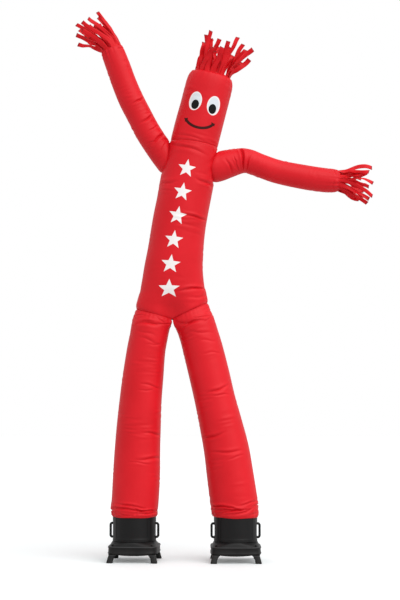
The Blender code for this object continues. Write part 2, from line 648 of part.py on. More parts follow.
def build_blower(name, x, y, turned):
    """One blower: barrel, base, four feet, two handles and the power inlet."""
    place = Matrix.Translation((x, y, 0.0)) @ Matrix.Rotation(math.radians(turned), 4, "Z")
    pieces = {"barrel": barrel(), "base": base(), "handle_1": handle(-1), "handle_2": handle(1),
              "inlet": inlet()}
    for number, (corner_x, corner_y) in enumerate(((-1, -1), (1, -1), (1, 1), (-1, 1)), 1):
        pieces["foot_%d" % number] = foot(corner_x, corner_y)
    for piece, bm in pieces.items():
        bm.transform(place)
        add_object("%s_blower_%s" % (name, piece), bm, (BLACK, 0.5))


# ---- the figure ----------------------------------------------------------------------------------
def build_trunk():
    """Torso and head, which meet at the neck seam."""
    torso = Tube(TORSO, TORSO_CREASES)
    head = Tube(HEAD, HEAD_CREASES)
    add_object("torso", torso.shell(TORSO_SIDES, low=hip_seam(1), high=neck_seam(-1)), CLOTH)
    add_object("head", head.shell(TORSO_SIDES, low=neck_seam(1)), CLOTH)
    fringe("hair_fringe", head, HAIR)


def build_leg(name, rows, creases):
    """One leg, cut along its hip seam and pulled over its blower."""
    leg = Tube(rows, creases)
    socket = (BARREL_RADIUS + DRAPE, BARREL_TOP + FIT)
    add_object(name, leg.shell(LEG_SIDES, high=hip_seam(-1), socket=socket), CLOTH)


def build_arm(name, rows, creases, strips):
    """One arm, fitted to the torso's side, with its hand of strips."""
    arm = Tube(rows, creases)
    sleeve = add_object("%s_arm" % name, arm.shell(ARM_SIDES), CLOTH)
    armhole = Tube(TORSO, TORSO_CREASES, grow=ARM_GAP)
    cut_away(sleeve, armhole.shell(TORSO_SIDES, low=hip_seam(1), high=neck_seam(-1)))
    fringe("%s_hand_fringe" % name, arm, strips)


def main():
    """Build the figure on its two blowers."""
    clear_scene()
    build_trunk()
    build_leg("left_leg", LEFT_LEG, LEFT_LEG_CREASES)
    build_leg("right_leg", RIGHT_LEG, RIGHT_LEG_CREASES)
    build_arm("left", LEFT_ARM, LEFT_ARM_CREASES, LEFT_HAND)
    build_arm("right", RIGHT_ARM, RIGHT_ARM_CREASES, RIGHT_HAND)
    build_blower("left", LEFT_X, LEFT_Y, LEFT_TURN)
    build_blower("right", RIGHT_X, RIGHT_Y, 0.0)


main()
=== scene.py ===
"""Looks of the inflatable air dancer.

A fine nylon figure with ribbon hair and hands, and the two moulded blowers that fill it with air, are
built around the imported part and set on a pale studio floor. Metres, +Z up; the figure faces -Y.
"""
import logging
import math
from collections.abc import Callable, Sequence
from dataclasses import dataclass
from enum import Enum

import bmesh
import bpy
import numpy as np
from mathutils import Matrix


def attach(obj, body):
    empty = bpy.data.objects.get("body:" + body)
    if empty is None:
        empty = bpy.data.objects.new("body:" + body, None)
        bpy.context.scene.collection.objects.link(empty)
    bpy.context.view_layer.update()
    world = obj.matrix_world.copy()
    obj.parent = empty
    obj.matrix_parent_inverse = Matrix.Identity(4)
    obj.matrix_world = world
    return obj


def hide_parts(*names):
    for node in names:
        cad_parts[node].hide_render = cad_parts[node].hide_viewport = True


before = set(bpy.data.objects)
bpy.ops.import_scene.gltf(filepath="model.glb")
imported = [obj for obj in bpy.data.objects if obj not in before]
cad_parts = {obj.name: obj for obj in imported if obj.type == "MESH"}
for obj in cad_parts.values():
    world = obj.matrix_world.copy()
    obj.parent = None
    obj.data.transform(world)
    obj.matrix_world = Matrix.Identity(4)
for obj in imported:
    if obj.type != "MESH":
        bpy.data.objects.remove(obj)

Array = np.ndarray
Colour = tuple[float, float, float]
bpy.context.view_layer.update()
BODY = "root"
LOG = logging.getLogger("air_dancer")

# ---- sizes shared with the solids ----
LEFT_X, LEFT_Y, LEFT_TURN = -0.926, 0.025, -4.0         # axis of each blower and its turn in degrees
RIGHT_X, RIGHT_Y, RIGHT_TURN = 0.108, -0.020, 0.0
HEM_HEIGHT, HEM_RADIUS = 0.445, 0.229
CROTCH_X, CROTCH_Z = -0.540, 2.466
HIP_SLOPE_LEFT, HIP_SLOPE_RIGHT = 0.280, 0.465          # rise of the hip seams away from the crotch
NECK_X, NECK_Z, NECK_TILT = -0.318, 4.283, 8.3          # neck seam and its tilt in degrees
CLEFT_WIDTH = 0.34          # of the hollow down a tube's front and back, as a share of its half width

BACK_SEAM = -math.pi / 2    # angle of the lengthwise seam
HEM_STITCH = 0.027          # height of the stitch rows above a hem's edge
RING_STITCH = 0.009         # distance of the stitch rows from any other seam
MERGE_CLOTH, MERGE_MOULDING = 0.00002, 0.00001          # points nearer than this become one


class End(Enum):
    """How one end of a cloth tube is finished."""

    SEAM = "sewn to its neighbour and turned in"
    ARMHOLE = "sewn into the side of the torso"
    HEM = "turned up inside and stitched"
    BAND = "gathered into the ribbon band"


class Edge(Enum):
    """How the edges of a piece of nylon are finished."""

    SEWN = "turned in and sewn with two rows of stitches"
    CUT = "cut with a hot knife, which leaves a dark edge"


@dataclass(frozen=True)
class Section:
    """One section of a cloth tube: its middle, half width, half depth, and front and back hollow."""

    x: float
    y: float
    z: float
    wide: float
    deep: float
    cleft: float = 0.0


@dataclass(frozen=True)
class Crease:
    """One crease: its place seen from the front, face (+1 front, -1 back), reach round the tube in
    degrees, half width, depth and rise from its left end to its right end."""

    x: float
    z: float
    face: int
    reach: float
    width: float
    depth: float
    rise: float


@dataclass(frozen=True)
class Strip:
    """One ribbon: its tip along the tube, to its right and forwards, and its sideways bow."""

    reach: float
    side: float
    front: float
    bow: float


def table(kind: type, *rows: tuple[float, ...]) -> tuple:
    """Sections, creases or strips, one for each row of figures."""
    return tuple(kind(*row) for row in rows)


LEFT_LEG = table(
    Section,
    (LEFT_X, LEFT_Y, HEM_HEIGHT, HEM_RADIUS, HEM_RADIUS), (LEFT_X, LEFT_Y, 0.475, 0.232, 0.231),
    (-0.927, 0.024, 0.537, 0.24, 0.238), (-0.919, 0.022, 0.618, 0.241, 0.24),
    (-0.906, 0.018, 0.872, 0.241, 0.24), (-0.897, 0.014, 1.127, 0.234, 0.235),
    (-0.883, 0.01, 1.383, 0.226, 0.23), (-0.865, 0.006, 1.639, 0.216, 0.224),
    (-0.839, 0.004, 1.896, 0.209, 0.218), (-0.809, 0.002, 2.153, 0.198, 0.214),
    (-0.782, 0.0, 2.297, 0.196, 0.212), (-0.76, 0.0, 2.421, 0.198, 0.208),
    (-0.739, 0.0, 2.51, 0.196, 0.204), (-0.722, 0.0, 2.62, 0.186, 0.202),
    (-0.712, 0.0, 2.76, 0.182, 0.2)
)
RIGHT_LEG = table(
    Section,
    (RIGHT_X, RIGHT_Y, HEM_HEIGHT, HEM_RADIUS, HEM_RADIUS), (RIGHT_X, RIGHT_Y, 0.475, 0.232, 0.231),
    (0.1, -0.019, 0.537, 0.242, 0.238), (0.09, -0.018, 0.618, 0.243, 0.24),
    (0.054, -0.015, 0.872, 0.239, 0.24), (0.017, -0.012, 1.127, 0.232, 0.236),
    (-0.039, -0.009, 1.383, 0.22, 0.23), (-0.1, -0.006, 1.639, 0.209, 0.224),
    (-0.159, -0.004, 1.896, 0.208, 0.219), (-0.223, -0.002, 2.153, 0.206, 0.215),
    (-0.263, 0.0, 2.297, 0.202, 0.212), (-0.303, 0.0, 2.421, 0.202, 0.208),
    (-0.336, 0.0, 2.51, 0.195, 0.204), (-0.362, 0.0, 2.62, 0.186, 0.202),
    (-0.38, 0.0, 2.76, 0.182, 0.2)
)
TORSO = table(
    Section,
    (-0.54, 0.0, 2.35, 0.384, 0.212, 0.55), (-0.54, 0.0, 2.47, 0.38, 0.214, 0.5),
    (-0.541, 0.0, 2.57, 0.375, 0.22, 0.34), (-0.537, 0.0, 2.645, 0.366, 0.228, 0.18),
    (-0.535, 0.0, 2.725, 0.349, 0.236, 0.06), (-0.536, 0.0, 2.803, 0.329, 0.246),
    (-0.528, 0.0, 2.99, 0.304, 0.262), (-0.507, 0.0, 3.177, 0.288, 0.272),
    (-0.489, 0.0, 3.333, 0.281, 0.276), (-0.466, 0.0, 3.489, 0.278, 0.277),
    (-0.43, 0.0, 3.676, 0.276, 0.276), (-0.393, 0.0, 3.88, 0.278, 0.274),
    (-0.363, -0.002, 4.06, 0.273, 0.268), (-0.338, -0.004, 4.19, 0.262, 0.258),
    (-0.318, -0.005, 4.283, 0.248, 0.248), (-0.304, -0.006, 4.38, 0.244, 0.246)
)
HEAD = table(
    Section,
    (-0.33, -0.005, 4.19, 0.244, 0.246), (-0.318, -0.005, 4.283, 0.244, 0.246),
    (-0.301, -0.006, 4.358, 0.246, 0.248), (-0.265, -0.008, 4.498, 0.246, 0.248),
    (-0.219, -0.01, 4.67, 0.244, 0.246), (-0.183, -0.012, 4.811, 0.244, 0.246),
    (-0.157, -0.013, 4.91, 0.242, 0.244), (-0.14, -0.014, 4.97, 0.232, 0.234),
    (-0.131, -0.014, 5.004, 0.214, 0.216), (-0.127, -0.015, 5.02, 0.195, 0.197)
)
LEFT_ARM = table(
    Section,
    (-0.47, 0.0, 3.985, 0.14, 0.14), (-0.586, -0.002, 4.115, 0.136, 0.138),
    (-0.659, -0.005, 4.209, 0.134, 0.136), (-0.794, -0.014, 4.414, 0.133, 0.134),
    (-0.883, -0.022, 4.582, 0.131, 0.132), (-0.972, -0.032, 4.755, 0.131, 0.132),
    (-1.043, -0.042, 4.924, 0.128, 0.129), (-1.104, -0.052, 5.093, 0.126, 0.127),
    (-1.156, -0.06, 5.23, 0.12, 0.121), (-1.175, -0.063, 5.28, 0.114, 0.115)
)
RIGHT_ARM = table(
    Section,
    (-0.23, 0.0, 4.035, 0.152, 0.15), (-0.082, 0.002, 4.052, 0.155, 0.15),
    (0.042, 0.005, 4.088, 0.146, 0.144), (0.141, 0.009, 4.113, 0.134, 0.138),
    (0.198, 0.012, 4.12, 0.129, 0.134), (0.26, 0.015, 4.111, 0.125, 0.131),
    (0.374, 0.021, 4.068, 0.122, 0.128), (0.556, 0.03, 4.007, 0.123, 0.126),
    (0.841, 0.042, 3.95, 0.127, 0.127), (1.038, 0.049, 3.922, 0.126, 0.126),
    (1.131, 0.052, 3.916, 0.122, 0.122), (1.185, 0.054, 3.915, 0.113, 0.114)
)
LEFT_LEG_CREASES = table(
    Crease,
    (-0.78, 2.42, 1, 50, 0.026, 0.014, 0.06), (-0.8, 2.32, 1, 40, 0.02, 0.003, -0.03),
    (-0.76, 2.245, 1, 44, 0.022, 0.004, -0.04), (-0.72, 2.205, 1, 30, 0.018, 0.003, 0.04),
    (-0.745, 1.78, 1, 40, 0.018, 0.006, -0.04), (-0.8, 1.74, 1, 30, 0.014, 0.003, 0.03),
    (-0.71, 1.295, 1, 42, 0.02, 0.009, -0.02), (-0.74, 1.045, 1, 55, 0.022, 0.01, 0.015),
    (-0.86, 1.01, 1, 34, 0.014, 0.004, -0.02), (-0.96, 0.575, 1, 46, 0.015, 0.01, -0.018),
    (-0.9, 0.53, 1, 60, 0.015, 0.013, -0.03), (-0.78, 0.498, 1, 40, 0.012, 0.009, -0.012),
    (-0.9, 2.33, -1, 60, 0.028, 0.014, 0.03), (-0.8, 1.52, -1, 55, 0.022, 0.008, 0.03),
    (-0.88, 1.1, -1, 40, 0.018, 0.006, -0.02), (-0.95, 0.545, -1, 62, 0.018, 0.01, 0.02),
    (-0.86, 0.6, -1, 40, 0.014, 0.007, -0.02)
)
RIGHT_LEG_CREASES = table(
    Crease,
    (-0.345, 2.43, 1, 54, 0.028, 0.013, -0.09), (-0.24, 2.33, 1, 44, 0.022, 0.004, -0.11),
    (-0.17, 2.24, 1, 34, 0.02, 0.003, -0.06), (-0.12, 2.12, 1, 34, 0.018, 0.004, -0.04),
    (-0.075, 1.745, 1, 50, 0.02, 0.01, 0.05), (-0.04, 1.69, 1, 34, 0.014, 0.005, -0.04),
    (-0.15, 1.262, 1, 50, 0.02, 0.011, 0.03), (0.02, 1.115, 1, 50, 0.02, 0.009, -0.04),
    (0.11, 1.06, 1, 30, 0.014, 0.004, 0.03), (-0.06, 0.56, 1, 40, 0.016, 0.017, -0.04),
    (0.06, 0.528, 1, 58, 0.015, 0.017, -0.04), (0.25, 0.6, 1, 36, 0.014, 0.008, 0.02),
    (-0.18, 2.32, -1, 60, 0.028, 0.014, 0.04), (0.02, 1.45, -1, 55, 0.022, 0.008, -0.03),
    (0.06, 0.98, -1, 42, 0.018, 0.006, 0.03), (0.1, 0.54, -1, 64, 0.016, 0.015, -0.02),
    (0.0, 0.61, -1, 40, 0.014, 0.007, 0.02)
)
TORSO_CREASES = table(
    Crease,
    (-0.3, 2.775, 1, 44, 0.022, 0.013, 0.05), (-0.26, 2.69, 1, 30, 0.016, 0.005, 0.04),
    (-0.29, 3.5, 1, 42, 0.018, 0.012, 0.02), (-0.6, 3.86, 1, 34, 0.024, 0.007, 0.06),
    (-0.19, 3.86, 1, 34, 0.024, 0.008, -0.05), (-0.4, 4.215, 1, 60, 0.026, 0.008, -0.05),
    (-0.7, 2.86, -1, 48, 0.024, 0.011, 0.03), (-0.3, 3.42, -1, 46, 0.022, 0.009, -0.03),
    (-0.34, 4.2, -1, 70, 0.026, 0.011, -0.06)
)
HEAD_CREASES = table(
    Crease,
    (-0.36, 4.33, 1, 60, 0.02, 0.004, -0.03), (-0.2, 4.86, -1, 50, 0.022, 0.005, -0.03)
)
LEFT_ARM_CREASES = table(
    Crease,
    (-0.88, 4.735, 1, 52, 0.016, 0.009, 0.035), (-0.79, 4.545, 1, 56, 0.018, 0.011, 0.045),
    (-0.74, 4.44, 1, 40, 0.012, 0.005, 0.03), (-0.67, 4.35, 1, 60, 0.02, 0.013, 0.05),
    (-0.72, 4.38, -1, 60, 0.02, 0.012, 0.05), (-0.9, 4.7, -1, 44, 0.014, 0.006, 0.03),
    (-1.06, 5.05, -1, 50, 0.016, 0.007, 0.02)
)
RIGHT_ARM_CREASES = table(
    Crease,
    (0.175, 4.14, 1, 80, 0.016, 0.022, 0.02), (0.235, 4.08, 1, 50, 0.013, 0.009, -0.01),
    (0.12, 4.05, 1, 40, 0.012, 0.006, 0.02), (0.05, 4.03, 1, 48, 0.018, 0.008, 0.04),
    (0.175, 4.15, -1, 80, 0.016, 0.018, -0.02), (0.24, 4.06, -1, 44, 0.013, 0.007, 0.01),
    (0.62, 3.98, -1, 50, 0.016, 0.007, 0.02)
)
HAIR = table(
    Strip,
    (0.229, 0.322, 0.02, -0.01), (0.322, 0.333, 0.09, -0.03), (0.34, 0.227, 0.145, -0.015),
    (0.386, 0.163, 0.195, -0.02), (0.32, 0.082, 0.235, 0.0), (0.245, 0.04, 0.264, 0.01),
    (0.319, -0.005, 0.24, -0.01), (0.225, -0.055, 0.262, 0.0), (0.383, -0.107, 0.2, 0.0),
    (0.27, -0.148, 0.132, 0.01), (0.356, -0.15, 0.07, 0.015), (0.28, -0.15, -0.02, 0.012),
    (0.34, -0.125, -0.105, 0.0), (0.375, -0.095, -0.18, 0.01), (0.26, -0.09, -0.255, 0.0),
    (0.33, -0.01, -0.26, 0.0), (0.3, 0.04, -0.32, 0.0), (0.35, 0.09, -0.26, 0.01),
    (0.28, 0.14, -0.26, 0.0), (0.32, 0.205, -0.19, -0.01), (0.22, 0.24, -0.155, 0.0),
    (0.326, 0.265, -0.075, -0.02)
)
LEFT_HAND = table(
    Strip,
    (0.398, -0.002, 0.01, 0.0), (0.263, -0.035, 0.08, 0.0), (0.35, -0.112, 0.13, 0.01),
    (0.33, -0.184, 0.155, 0.01), (0.334, -0.248, 0.115, 0.015), (0.25, -0.215, 0.185, 0.01),
    (0.245, -0.284, 0.07, 0.01), (0.16, -0.303, 0.01, 0.01), (0.24, -0.25, -0.07, 0.01),
    (0.32, -0.24, -0.13, 0.01), (0.35, -0.185, -0.175, 0.01), (0.345, -0.125, -0.19, 0.01),
    (0.32, -0.07, -0.15, 0.0), (0.36, -0.012, -0.08, 0.0)
)
RIGHT_HAND = table(
    Strip,
    (0.212, 0.196, 0.015, 0.0), (0.288, 0.232, 0.07, -0.01), (0.301, 0.195, 0.12, -0.01),
    (0.33, 0.168, 0.15, -0.015), (0.283, 0.084, 0.19, 0.0), (0.338, 0.034, 0.125, -0.025),
    (0.304, -0.086, 0.07, 0.0), (0.347, -0.142, -0.005, -0.045), (0.27, -0.105, -0.08, 0.0),
    (0.26, -0.05, -0.14, 0.0), (0.31, 0.015, -0.17, 0.0), (0.29, 0.075, -0.17, 0.0),
    (0.31, 0.14, -0.13, 0.0), (0.265, 0.175, -0.06, 0.0)
)


# ---- smooth tubes ----
def unit(vectors: Array) -> Array:
    """Vectors of length one."""
    return vectors / np.linalg.norm(vectors, axis=-1, keepdims=True)


def bell(distance: Array, width: float) -> Array:
    """A smooth bump that is 1 at no distance and fades over a width."""
    return np.exp(-(distance / width) ** 2)


def eased(share: Array) -> Array:
    """A share kept between 0 and 1, with a smooth start and end."""
    share = np.clip(share, 0.0, 1.0)
    return share * share * (3.0 - 2.0 * share)


def smooth_step(value: Array, low: float, high: float) -> Array:
    """0 below, 1 above, and a smooth rise between two values."""
    return eased((value - low) / (high - low))


def wrapped(angle: Array) -> Array:
    """Angles brought between minus and plus half a turn."""
    return np.mod(angle + math.pi, math.tau) - math.pi


def cloth_lines(count: int) -> Array:
    """Angles of the lines of cloth round a tube, from the back seam round to it again."""
    return BACK_SEAM - np.linspace(0.0, math.tau, count + 1)


class Tube:
    """A smooth tube through a table of sections, measured by the distance along its middle.

    Angle 0 is the tube's side and a quarter turn is its front.
    """

    NUDGE = 0.01                # step along the middle that gives its direction
    TRIED = 401                 # places tried along the middle for a spot on the cloth
    FARTHEST = 0.98             # most that such a spot is to one side, as a share of the half width
    BEYOND, NEAR_TRIED = 0.1, 121       # reach past the ends and places tried for points near the tube
    TINY = 1e-9                 # keeps a point on the middle from having no direction
    WANDER, SNAKES, DRIFT = 0.35, 4.0, 40.0     # a crease's waver: share of its width, turns, start
    VALLEY, VALLEY_WIDTH, VALLEY_POWER = 1.5, 0.5, 1.3
    PILLOWS = ((0.55, 1.25, 0.8), (0.30, -1.4, 0.9))    # height, place and width beside the valley
    END_POWER = 1.4             # how blunt the ends of a crease are

    def __init__(self, rows: Sequence[Section], creases: Sequence[Crease] = ()) -> None:
        """Prepare the curve.

        Args:
            rows: Sections from the low end up, or from the shoulder out.
            creases: Soft creases of the cloth.
        """
        self.table = np.array([(r.x, r.y, r.z, r.wide, r.deep, r.cleft) for r in rows])
        steps = np.linalg.norm(np.diff(self.table[:, :3], axis=0), axis=1)
        self.knots = np.concatenate(([0.0], np.cumsum(steps)))
        self.length = float(self.knots[-1])
        ahead = np.minimum(np.arange(len(rows)) + 1, len(rows) - 1)
        behind = np.maximum(np.arange(len(rows)) - 1, 0)
        run = (self.knots[ahead] - self.knots[behind])[:, None]
        self.slopes = (self.table[ahead] - self.table[behind]) / run
        self.girth = math.tau * float(self.table[:, 3:5].mean())
        self.creases = [(crease, *self.locate(crease.x, crease.z, crease.face)) for crease in creases]

    def sample(self, s: Array) -> Array:
        """Sections at distances along the tube, which runs straight beyond its ends.

        Args:
            s: Distances along the tube.

        Returns:
            Middle, half width, half depth and hollow at each.
        """
        inside = np.clip(s, 0.0, self.length)
        k = np.clip(np.searchsorted(self.knots, inside) - 1, 0, len(self.knots) - 2)
        span = (self.knots[k + 1] - self.knots[k])[..., None]
        u = (inside - self.knots[k])[..., None] / span
        rise = self.table[k + 1] - self.table[k]
        bend = (1 - u) * (self.slopes[k] * span - rise) - u * (self.slopes[k + 1] * span - rise)
        past = (s - inside)[..., None]
        beyond = past * np.where(past < 0, self.slopes[0], self.slopes[-1])
        return self.table[k] + rise * u + bend * u * (1 - u) + beyond

    def axes(self, s: Array) -> tuple[Array, Array, Array]:
        """Directions at distances along the tube.

        Args:
            s: Distances along the tube.

        Returns:
            The directions along the tube, to its side and out of its front.
        """
        along = unit(self.sample(s + self.NUDGE)[..., :3] - self.sample(s - self.NUDGE)[..., :3])
        front = unit(np.array((0.0, -1.0, 0.0)) + along * along[..., 1:2])
        return along, np.cross(along, front), front

    def depth(self, row: Array, cosine: Array) -> Array:
        """Half depth, less the hollow down the middle of the front and back."""
        return row[..., 4] * (1.0 - np.maximum(row[..., 5], 0.0) * bell(cosine, CLEFT_WIDTH))

    def surface(self, s: Array, angle: Array, push: Array | float = 0.0,
                scale: Array | float = 1.0) -> Array:
        """Points of the cloth.

        Args:
            s: Distances along the tube.
            angle: Angles round it.
            push: How far the cloth is drawn in.
            scale: Share of the tube's own radius.

        Returns:
            The points.
        """
        row = self.sample(s)
        _, side, front = self.axes(s)
        across = ((row[..., 3] * scale - push) * np.cos(angle))[..., None]
        out = ((self.depth(row, np.cos(angle)) * scale - push) * np.sin(angle))[..., None]
        return row[..., :3] + side * across + front * out

    def locate(self, x: float, z: float, face: int) -> tuple[float, float]:
        """Find a spot of the cloth that is seen from the front.

        Args:
            x: Its place.
            z: Its height.
            face: 1 on the front of the tube, -1 on its back.

        Returns:
            Its distance along the tube and its angle round it.
        """
        steps = np.linspace(0.0, self.length, self.TRIED)
        rows = self.sample(steps)
        away = np.array((x, z)) - rows[:, (0, 2)]
        best = int(np.argmin((away ** 2).sum(axis=1)))
        _, side, _ = self.axes(steps)
        share = float(away[best] @ side[best][[0, 2]]) / rows[best, 3]
        return float(steps[best]), math.acos(max(-self.FARTHEST, min(self.FARTHEST, share))) * face

    def clearance(self, points: Array) -> tuple[Array, Array]:
        """How far points are outside the cloth, about.

        Args:
            points: The points.

        Returns:
            The distance outside, less than 0 inside, and the distance along the tube.
        """
        steps = np.linspace(-self.BEYOND, self.length + self.BEYOND, self.NEAR_TRIED)
        middles = self.sample(steps)[:, :3]
        apart = ((points[..., None, :] - middles) ** 2).sum(axis=-1)
        s = steps[np.argmin(apart, axis=-1)]
        for _ in range(2):
            along, _, _ = self.axes(s)
            s = s + ((points - self.sample(s)[..., :3]) * along).sum(axis=-1)
        row = self.sample(s)
        _, side, front = self.axes(s)
        across = ((points - row[..., :3]) * side).sum(axis=-1) / row[..., 3]
        out = ((points - row[..., :3]) * front).sum(axis=-1)
        cosine = across / np.sqrt(across ** 2 + (out / row[..., 4]) ** 2 + self.TINY)
        ratio = np.sqrt(across ** 2 + (out / self.depth(row, cosine)) ** 2)
        return (ratio - 1.0) * row[..., 4], s

    def crease_push(self, s: Array, angle: Array) -> Array:
        """How far the creases draw the cloth in; each has a valley between two soft pillows.

        Args:
            s: Distances along the tube.
            angle: Angles round it.

        Returns:
            The push of each point.
        """
        push = np.zeros(np.broadcast(s, angle).shape)
        for crease, at, round_at in self.creases:
            turn = wrapped(angle - round_at) / math.radians(crease.reach)
            wander = self.WANDER * crease.width * np.sin(self.SNAKES * turn + self.DRIFT * at)
            off = (s - at + 0.5 * crease.rise * turn * crease.face + wander) / crease.width
            arch = np.cos(np.clip(turn, -1, 1) * math.pi / 2) ** self.END_POWER
            ends = np.where(np.abs(turn) < 1.0, arch, 0.0)
            pillows = sum(high * bell(off - place, wide) for high, place, wide in self.PILLOWS)
            valley = self.VALLEY * np.exp(-(np.abs(off) / self.VALLEY_WIDTH) ** self.VALLEY_POWER)
            push += crease.depth * ends * (valley - pillows)
        return push

    def gather(self, seed: int, count: int, low: float, high: float, depth: float) -> None:
        """Add short slanting creases all round one stretch of the tube.

        Args:
            seed: Seed of their places.
            count: How many there are.
            low: Distance along the tube where they start.
            high: Distance along the tube where they end.
            depth: Depth of the deepest.
        """
        draw = np.random.default_rng(seed)
        for k in range(count):
            crease = Crease(0.0, 0.0, 1, draw.uniform(18, 42), draw.uniform(0.009, 0.014),
                            depth * draw.uniform(0.45, 1.0), draw.choice((-1, 1)) * draw.uniform(0.02, 0.07))
            self.creases.append((crease, draw.uniform(low, high), math.tau * (k + draw.uniform()) / count))


@dataclass(frozen=True)
class Ripples:
    """Faint wrinkles that run round a tube in patches, and puckers that run away from its seams."""

    seed: int
    pucker: float = 0.0030      # height of the puckers

    HEIGHT = 0.0010             # of the faint wrinkles
    WRINKLES, MOST_TURNS, LENGTHS = 14, 4, (0.035, 0.10)
    PATCHES, PATCH_TURNS, PATCH_LENGTHS = 5, 3, (0.3, 0.9)
    PUCKERS, REACHES = 6, (0.6, 1.5)

    def waves(self, draw: np.random.Generator, s: Array, angle: Array, count: int, turns: int,
              lengths: tuple[float, float]) -> Array:
        """Waves that run round and along a tube.

        Args:
            draw: Random numbers for them.
            s: Distances along the tube.
            angle: Angles round it.
            count: How many waves there are.
            turns: Most times that one goes round, either way.
            lengths: Least and most length of one.

        Returns:
            Their sum.
        """
        total = np.zeros(s.shape)
        for _ in range(count):
            rounds, wave = draw.integers(-turns, turns + 1), draw.uniform(*lengths)
            total += np.sin(rounds * angle + math.tau * s / wave + draw.uniform(0, math.tau))
        return total

    def faint(self, s: Array, angle: Array) -> Array:
        """How far the faint wrinkles draw the cloth in.

        Args:
            s: Distances along the tube.
            angle: Angles round it.

        Returns:
            The push of each point, strong in some patches and weak in the others.
        """
        draw = np.random.default_rng(self.seed)
        total = self.waves(draw, s, angle, self.WRINKLES, self.MOST_TURNS, self.LENGTHS)
        patch = self.waves(draw, s, angle, self.PATCHES, self.PATCH_TURNS, self.PATCH_LENGTHS)
        return self.HEIGHT * total / math.sqrt(self.WRINKLES / 2) * np.clip(patch / 2.2 - 0.15, 0.05, 1.2)

    def puckers(self, angle: Array, distance: Array, reach: float, counts: tuple[int, int]) -> Array:
        """How far the puckers beside a seam draw the cloth in.

        Args:
            angle: Angles round the tube.
            distance: Distance of each point from the seam.
            reach: Length over which the puckers fade.
            counts: Least and most puckers in one turn.

        Returns:
            The push, never outwards by more than it is inwards.
        """
        draw = np.random.default_rng(self.seed + 100)
        total = np.zeros(angle.shape)
        for _ in range(self.PUCKERS):
            count, phase = draw.integers(*counts), draw.uniform(0, math.tau)
            length = reach * draw.uniform(*self.REACHES)
            total += np.sin(count * angle + phase) * np.exp(-np.maximum(distance, 0.0) / length)
        return self.pucker * total / math.sqrt(self.PUCKERS / 2)


# ---- meshes ----
def lay_grid(bm: bmesh.types.BMesh, points: Array, cloth: Array | None = None,
             **numbers: Array) -> list[bmesh.types.BMVert]:
    """Add a grid of cloth or moulding and move its vertices into place.

    Args:
        bm: Mesh to add to.
        points: Places, as rows of columns.
        cloth: Place of each point on the flat cloth, for the UV map.
        **numbers: One number for each point, stored under its name.

    Returns:
        The new vertices, row by row.
    """
    layers = {name: bm.verts.layers.float.get(name) or bm.verts.layers.float.new(name) for name in numbers}
    flat = bm.loops.layers.uv.verify()
    rows, columns, _ = points.shape
    verts = bmesh.ops.create_grid(bm, x_segments=columns - 1, y_segments=rows - 1, size=0.5)["verts"]
    for vert, place in zip(verts, points.reshape(-1, 3).tolist()):
        vert.co = place
    if cloth is not None:
        for vert, spot in zip(verts, cloth.reshape(-1, 2).tolist()):
            for loop in vert.link_loops:
                loop[flat].uv = spot
    for name, values in numbers.items():
        for vert, value in zip(verts, values.ravel().tolist()):
            vert[layers[name]] = value
    return verts


def add_piece(name: str, bm: bmesh.types.BMesh, solid: str,
              smooth_angle: float | None = None) -> bpy.types.Object:
    """Turn a finished mesh into a smooth-shaded piece that rides on the body.

    Args:
        name: Name of the piece.
        bm: Its mesh, which is used up.
        solid: Name of the solid that it replaces.
        smooth_angle: Edges sharper than this, in degrees, stay sharp.

    Returns:
        The piece.
    """
    mesh = bpy.data.meshes.new(name)
    bm.to_mesh(mesh)
    bm.free()
    mesh.shade_smooth()
    if smooth_angle is not None:
        mesh.set_sharp_from_angle(angle=math.radians(smooth_angle))
    piece = bpy.data.objects.new(name, mesh)
    bpy.context.collection.objects.link(piece)
    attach(piece, BODY)
    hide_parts(solid)
    return piece


